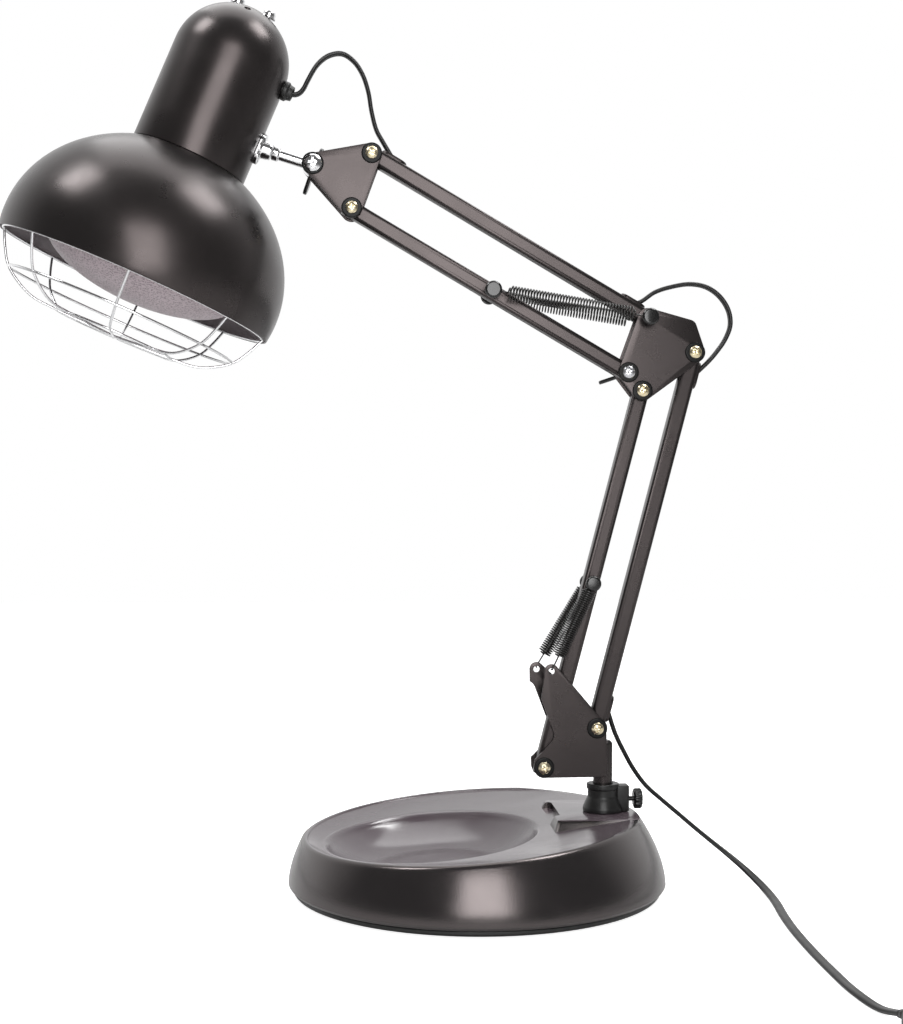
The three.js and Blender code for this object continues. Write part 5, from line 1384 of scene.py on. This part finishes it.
class MakeSprings(bpy.types.Operator):
    """Make the four balance springs as close helices with hooked ends."""

    bl_idname = "heat_lamp.springs"
    bl_label = "Balance springs"

    def execute(self, context):
        kept = context.scene.heat_lamp_sizes
        for side, word in ((-1, "front"), (1, "rear")):
            upper_from, upper_to = np.array(in_arms(UPPER_PIVOT, side * 12.6)), np.array(in_arms(UPPER_PIN,
                side * 12.6))
            self.spring(f"upper_spring_{word}", upper_from, upper_to, 4.75, kept.upper_curls,
                        kept.spring_wire / MM, 9.0, 9.0, ("elbow", "upper_low"), [])
            lower_from, ear = np.array(in_arms(LOWER_PIN, side * 9.8)), EAR[side] + [0, 1.15]
            hook = np.array([in_arms(ear, side * 9.8), in_arms(ear, side * 7.9), in_arms(ear, side * 6.6)])
            self.spring(f"lower_spring_{word}", lower_from, hook[0], 4.5, kept.lower_curls,
                        kept.spring_wire / MM, 4.0, 9.0, ("lower_front", "lower_bracket"), hook[1:])
        return {"FINISHED"}

    def spring(self, name, start, end, radius, curls, wire, lead_in, tail, joins, hook):
        """Helix start + s axis + r(cos a, sin a), whose radius shrinks to nothing at its hooked ends."""
        span = np.linalg.norm(end - start)
        axis = (end - start) / span
        first = np.cross(axis, Y_AXIS)
        second = np.cross(axis, first)
        turn = np.linspace(0, curls, curls * 20 + 1)
        swell = (radius - wire / 2) * eased(np.minimum(turn, curls - turn) / 0.9)
        at = lead_in + (span - lead_in - tail) * turn / curls
        spin = TAU * turn
        path = (start + at[:, None] * axis + (swell * np.cos(spin))[:,
                                                                    None] * first + (swell * np.sin(spin))[:,
                                                                        None] * second)
        eye = np.linspace(-0.55, 0.5, 22) * TAU
        loop = start + 2.6 * (np.cos(eye)[:, None] * axis + np.sin(eye)[:, None] * first)
        far = end - 2.6 * (np.cos(eye)[:, None] * axis + np.sin(eye)[:, None] * first)
        line = even(np.vstack([loop, path, np.array([end, *hook]) if len(hook) else far]), 0.75)
        steady = np.broadcast_to(Y_AXIS + 0.02 * axis, line.shape)
        tangent = np.gradient(line, axis=0)
        away = np.cross(tangent, axis + 0.01 * first)
        flip = np.where(np.linalg.norm(away, axis=1, keepdims=True) < 1e-3, steady, away)
        mesh = mesh_of(name, [swept(line, flip, oval(wire, wire, 6))], capped=True)
        made = shown(name + "_coil", mesh, dressed("Blackened wire"), 75)
        settle(made, None, [name])
        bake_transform(made)


# Switch, coil and plug on the mains lead.

def tapered_boot(path, side, wide, slim, ribs):
    """Strain relief along the lead's path: an oval that tapers, with ribs cut into it.

    At share s the half sizes are those of a straight taper, less a groove times (1 - cos(2 pi n s)) / 2.
    """
    share = np.linspace(0, 1, len(path))[:, None]
    groove = 0.55 * (1 - np.cos(TAU * ribs * share)) / 2 * (share > 0.12) * (share < 0.97)
    size = np.asarray(wide) + (np.asarray(slim) - np.asarray(wide)) * share - groove
    section = oval(1, 1, 32, 2.6)[None] * size[:, None, :]
    return swept(path, side, section)


def trimmed(path, reach, behind=False):
    """The stretch of a path, in fine even steps, that lies within a distance of its start or end."""
    fine = even(path, 0.4)
    count = int(reach / 0.4) + 1
    return fine[::-1][:count] if behind else fine[:count]


class MakeSwitch(bpy.types.Operator):
    """Make the hand switch: a housing in two halves with a rocker in its well, and a boot at each end."""

    bl_idname = "heat_lamp.switch"
    bl_label = "Hand switch"

    def execute(self, context):
        at = place(at=(*SWITCH_AT, 0.0))
        levels = [(22.0, 57.0, 0.0), (24.6, 59.6, 0.5), (26.4, 61.4, 2.0), (27.0, 62.0, 4.0),
                  (27.0, 62.0, 7.9), (26.3, 61.3, 8.1), (26.3, 61.3, 8.5), (27.0, 62.0, 8.7),
                  (27.0, 62.0, 12.5), (26.2, 61.2, 15.0), (24.2, 59.2, 16.5), (21.4, 56.4, 17.0)]
        rows = np.stack([np.column_stack([box_outline(w, l, min(9.0, w / 2 - 1), steps=96),
                                          np.full(96, h)]) for w, l, h in levels])
        made = piece("switch_shell", [moved(rows, at)], "base", "Soft black moulding",
                     ["switch_housing"], crease=40, capped=True)
        well = slab(box_outline(12.6, 23.2, 1.2), 10.0, 30.0, 0.0)
        bored(made, [cutter("well_tool", [moved(well, at)])], 40)
        self.rocker()
        mains = route(MAINS_ROUTE, 24, (21, 23))
        coil, _ = coil_path()
        front = trimmed(mains, 22, behind=True)
        back = trimmed(coil, 22)
        boots = [tapered_boot(front, floorwise(front), (10.4, 8.4), (6.6, 4.1), 6),
                 tapered_boot(back, floorwise(back), (10.4, 8.4), (6.6, 4.1), 6)]
        piece("switch_boots", boots, "base", "Soft black moulding", capped=True)
        return {"FINISHED"}

    def rocker(self):
        """Rocker: a bar whose top has two slopes that meet above its pin, with eased edges."""
        y = np.linspace(-10.5, 10.5, 43)
        top = np.where(y < 0, 1.0 + 0.6 * (y + 10.5) / 10.5,
                       1.6 + 1.8 * (y / 10.5)) - 0.25 * np.exp(-((y - 5) / 3.5) ** 2)
        across = np.array([-6.0, -5.9, -5.6, -5.0, 0.0, 5.0, 5.6, 5.9, 6.0])
        drop = np.array([0.6, 0.3, 0.1, 0.0, 0.0, 0.0, 0.1, 0.3, 0.6])
        ends = 0.5 * np.clip((np.abs(y) - 9.9) / 0.6, 0, 1) ** 2
        grid = np.stack(np.broadcast_arrays(across[None, :], y[:, None],
                                            top[:, None] - drop[None, :] - ends[:, None]), axis=-1)
        rim = np.concatenate([grid[0], grid[1:, -1], grid[-1, -2::-1], grid[-2:0:-1, 0]])
        low = rim * [1, 1, 0] + [0, 0, -3.0]
        at = place(at=(*SWITCH_AT, 16.0))
        top_mesh = mesh_of("switch_key", [moved(grid, at)], around=False)
        wall = mesh_of("switch_key_wall", [moved(np.stack([low, rim]), at)])
        piece("switch_key", joined_mesh(top_mesh, wall), "rocker", "Gloss black",
              ["switch_rocker"], crease=35)


class MakeCoil(bpy.types.Operator):
    """Make the spare lead's coil with its ties, and the plug with its boot and blades."""

    bl_idname = "heat_lamp.coil"
    bl_label = "Coil and plug"

    def execute(self, context):
        plug, boot = self.plug()
        blades = [self.blade(index, side) for index, side in ((1, 1), (2, -1))]
        ties = self.ties()
        path, side = coil_path()
        mesh = mesh_of("mains_coil_flex", [swept(path, side, twin())], capped=True)
        made = piece("mains_coil_flex", mesh, "base", "Flex sheath", ["mains_coil"], crease=60)
        return {"FINISHED"}

    def plug(self):
        """Plug body: oval sections along X that swell from the face to the grip and fall to the neck."""
        x = np.array([0.0, 0.3, 1.2, 3.0, 8.0, 14.0, 16.5, 18.0, 21.0, 23.4, 24.6])
        wide = np.array([20.0, 21.8, 23.2, 24.0, 24.0, 22.4, 21.0, 19.4, 17.6, 14.6, 11.2])
        tall = np.array([11.0, 12.8, 14.2, 15.0, 15.0, 14.0, 13.4, 13.0, 12.4, 11.0, 9.2])
        path = np.column_stack([101.4 + x, np.full(len(x), -440.0), np.full(len(x), 7.5)])
        section = oval(1, 1, 72, 4.0)[None] * np.stack([wide, tall], axis=-1)[:, None, :]
        body = piece("plug_shell", [swept(path, Y_AXIS, section)], "base",
                     "Soft black moulding", ["plug_body"], crease=40, capped=True)
        run, _ = coil_path()
        tail = run[-60:][::-1]
        line = np.vstack([np.column_stack([np.linspace(124.4, 137.0, 20), np.full(20, -440.0),
                                           np.full(20, 7.5)]), tail[1:]])
        line = even(line, 0.4)[:int(24 / 0.4)]
        boot = piece("plug_boot", [tapered_boot(line, Y_AXIS, (9.8, 8.4), (6.8, 4.4), 6)], "base",
                     "Soft black moulding", ["plug_body"], capped=True)
        return body, boot

    def blade(self, index, side):
        """Flat blade with a round hole near its eased tip."""
        outline = np.vstack([belted([[84.4 + 3.15, 7.5, 3.15], [100.0, 10.4, 0.25], [108.0, 10.4, 0.25],
                                     [108.0, 4.6, 0.25]], 96)])
        grid = slab(outline, -0.75, 0.75, 0.25)
        stand = np.array([[1, 0, 0, 0], [0, 0, -1, -440 + side * 6.35], [0, 1, 0, 0], [0, 0, 0, 1]], float)
        made = piece(f"blade_{index}", [moved(grid, stand)], "base", "Brass",
                     [f"plug_blade_{index}"], capped=True)
        hole = moved(turned([[1.6, -4.0], [1.6, 4.0]], 32), stand @ place(at=(88.4, 7.5, 0)))
        bored(made, [cutter("blade_hole", [hole])])
        return made

    def ties(self):
        """Two flat ties round the coil: a closed band along a rounded box that holds all the turns."""
        made = []
        for index, angle in enumerate((55, 235)):
            outline = box_outline(15.4, 12.9, 2.6, (31.1, 6.72), steps=64)
            closed = np.vstack([outline, outline[:1]])
            loop = np.column_stack([closed[:, 0], np.zeros(65), closed[:, 1]])
            way = np.gradient(closed, axis=0)
            way[0] = way[-1] = closed[1] - closed[-2]
            out = np.column_stack([way[:, 1], np.zeros(65), -way[:, 0]])
            out /= np.linalg.norm(out, axis=1, keepdims=True)
            section = np.array([[-0.2, -2.6], [0.22, -2.6], [0.22, 2.6], [-0.2, 2.6]])
            band = loop[:, None] + section[None, :, :1] * out[:, None] + section[None, :, 1:] * Y_AXIS
            stand = place(at=(COIL["x"], COIL["y"], 0), turn_z=angle)
            name = f"coil_tie_{index + 1}"
            made.append(piece(name, [moved(band, stand)], "base", "Gloss black", crease=40))
        return made


class MakeHidden(bpy.types.Operator):
    """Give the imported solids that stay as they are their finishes."""

    bl_idname = "heat_lamp.hidden"
    bl_label = "Ballast and inner leads"

    def execute(self, context):
        for name, finish_name in (("ballast_weight", "Cast iron"), ("lower_inner_lead", "Flex sheath"),
                                  ("upper_inner_lead", "Flex sheath")):
            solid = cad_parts[name]
            solid.data.materials.clear()
            solid.data.materials.append(dressed(finish_name))
        return {"FINISHED"}


class HeatLampPanel(bpy.types.Panel):
    """Lists the steps that build the heat lamp, with its sizes and colours."""

    bl_idname = "HEATLAMP_PT_build"
    bl_label = "Heat Lamp"
    bl_space_type = "VIEW_3D"
    bl_region_type = "UI"
    bl_category = "Heat Lamp"

    def draw(self, context):
        for operator in STEPS:
            self.layout.operator(operator.bl_idname, text=operator.bl_label)
        for kept in (context.scene.heat_lamp_sizes, context.scene.heat_lamp_colours):
            for key in kept.__annotations__:
                self.layout.prop(kept, key)


STEPS = (
    MakeFinishes, MakeStage, MakeLeads, MakeBase, MakeCover, MakeSocket, MakeCup, MakeShade, MakeGuard,
    MakeBulb, MakeStem, MakePlates, MakeBolts, MakeTubes, MakePins, MakeSprings, MakeSwitch, MakeCoil,
    MakeHidden,
)
CLASSES = (LampSizes, LampColours, *STEPS, HeatLampPanel)


def register():
    """Add the classes, and the sizes and colours to the scene."""
    for part in CLASSES:
        bpy.utils.register_class(part)
    bpy.types.Scene.heat_lamp_sizes = PointerProperty(type=LampSizes)
    bpy.types.Scene.heat_lamp_colours = PointerProperty(type=LampColours)


def unregister():
    """Take the classes and their values away again."""
    del bpy.types.Scene.heat_lamp_colours
    del bpy.types.Scene.heat_lamp_sizes
    for part in reversed(CLASSES):
        bpy.utils.unregister_class(part)


def main():
    """Build the lamp step by step."""
    register()
    for operator in STEPS:
        group, action = operator.bl_idname.split(".")
        getattr(getattr(bpy.ops, group), action)()


if __name__ == "__main__":
    main()
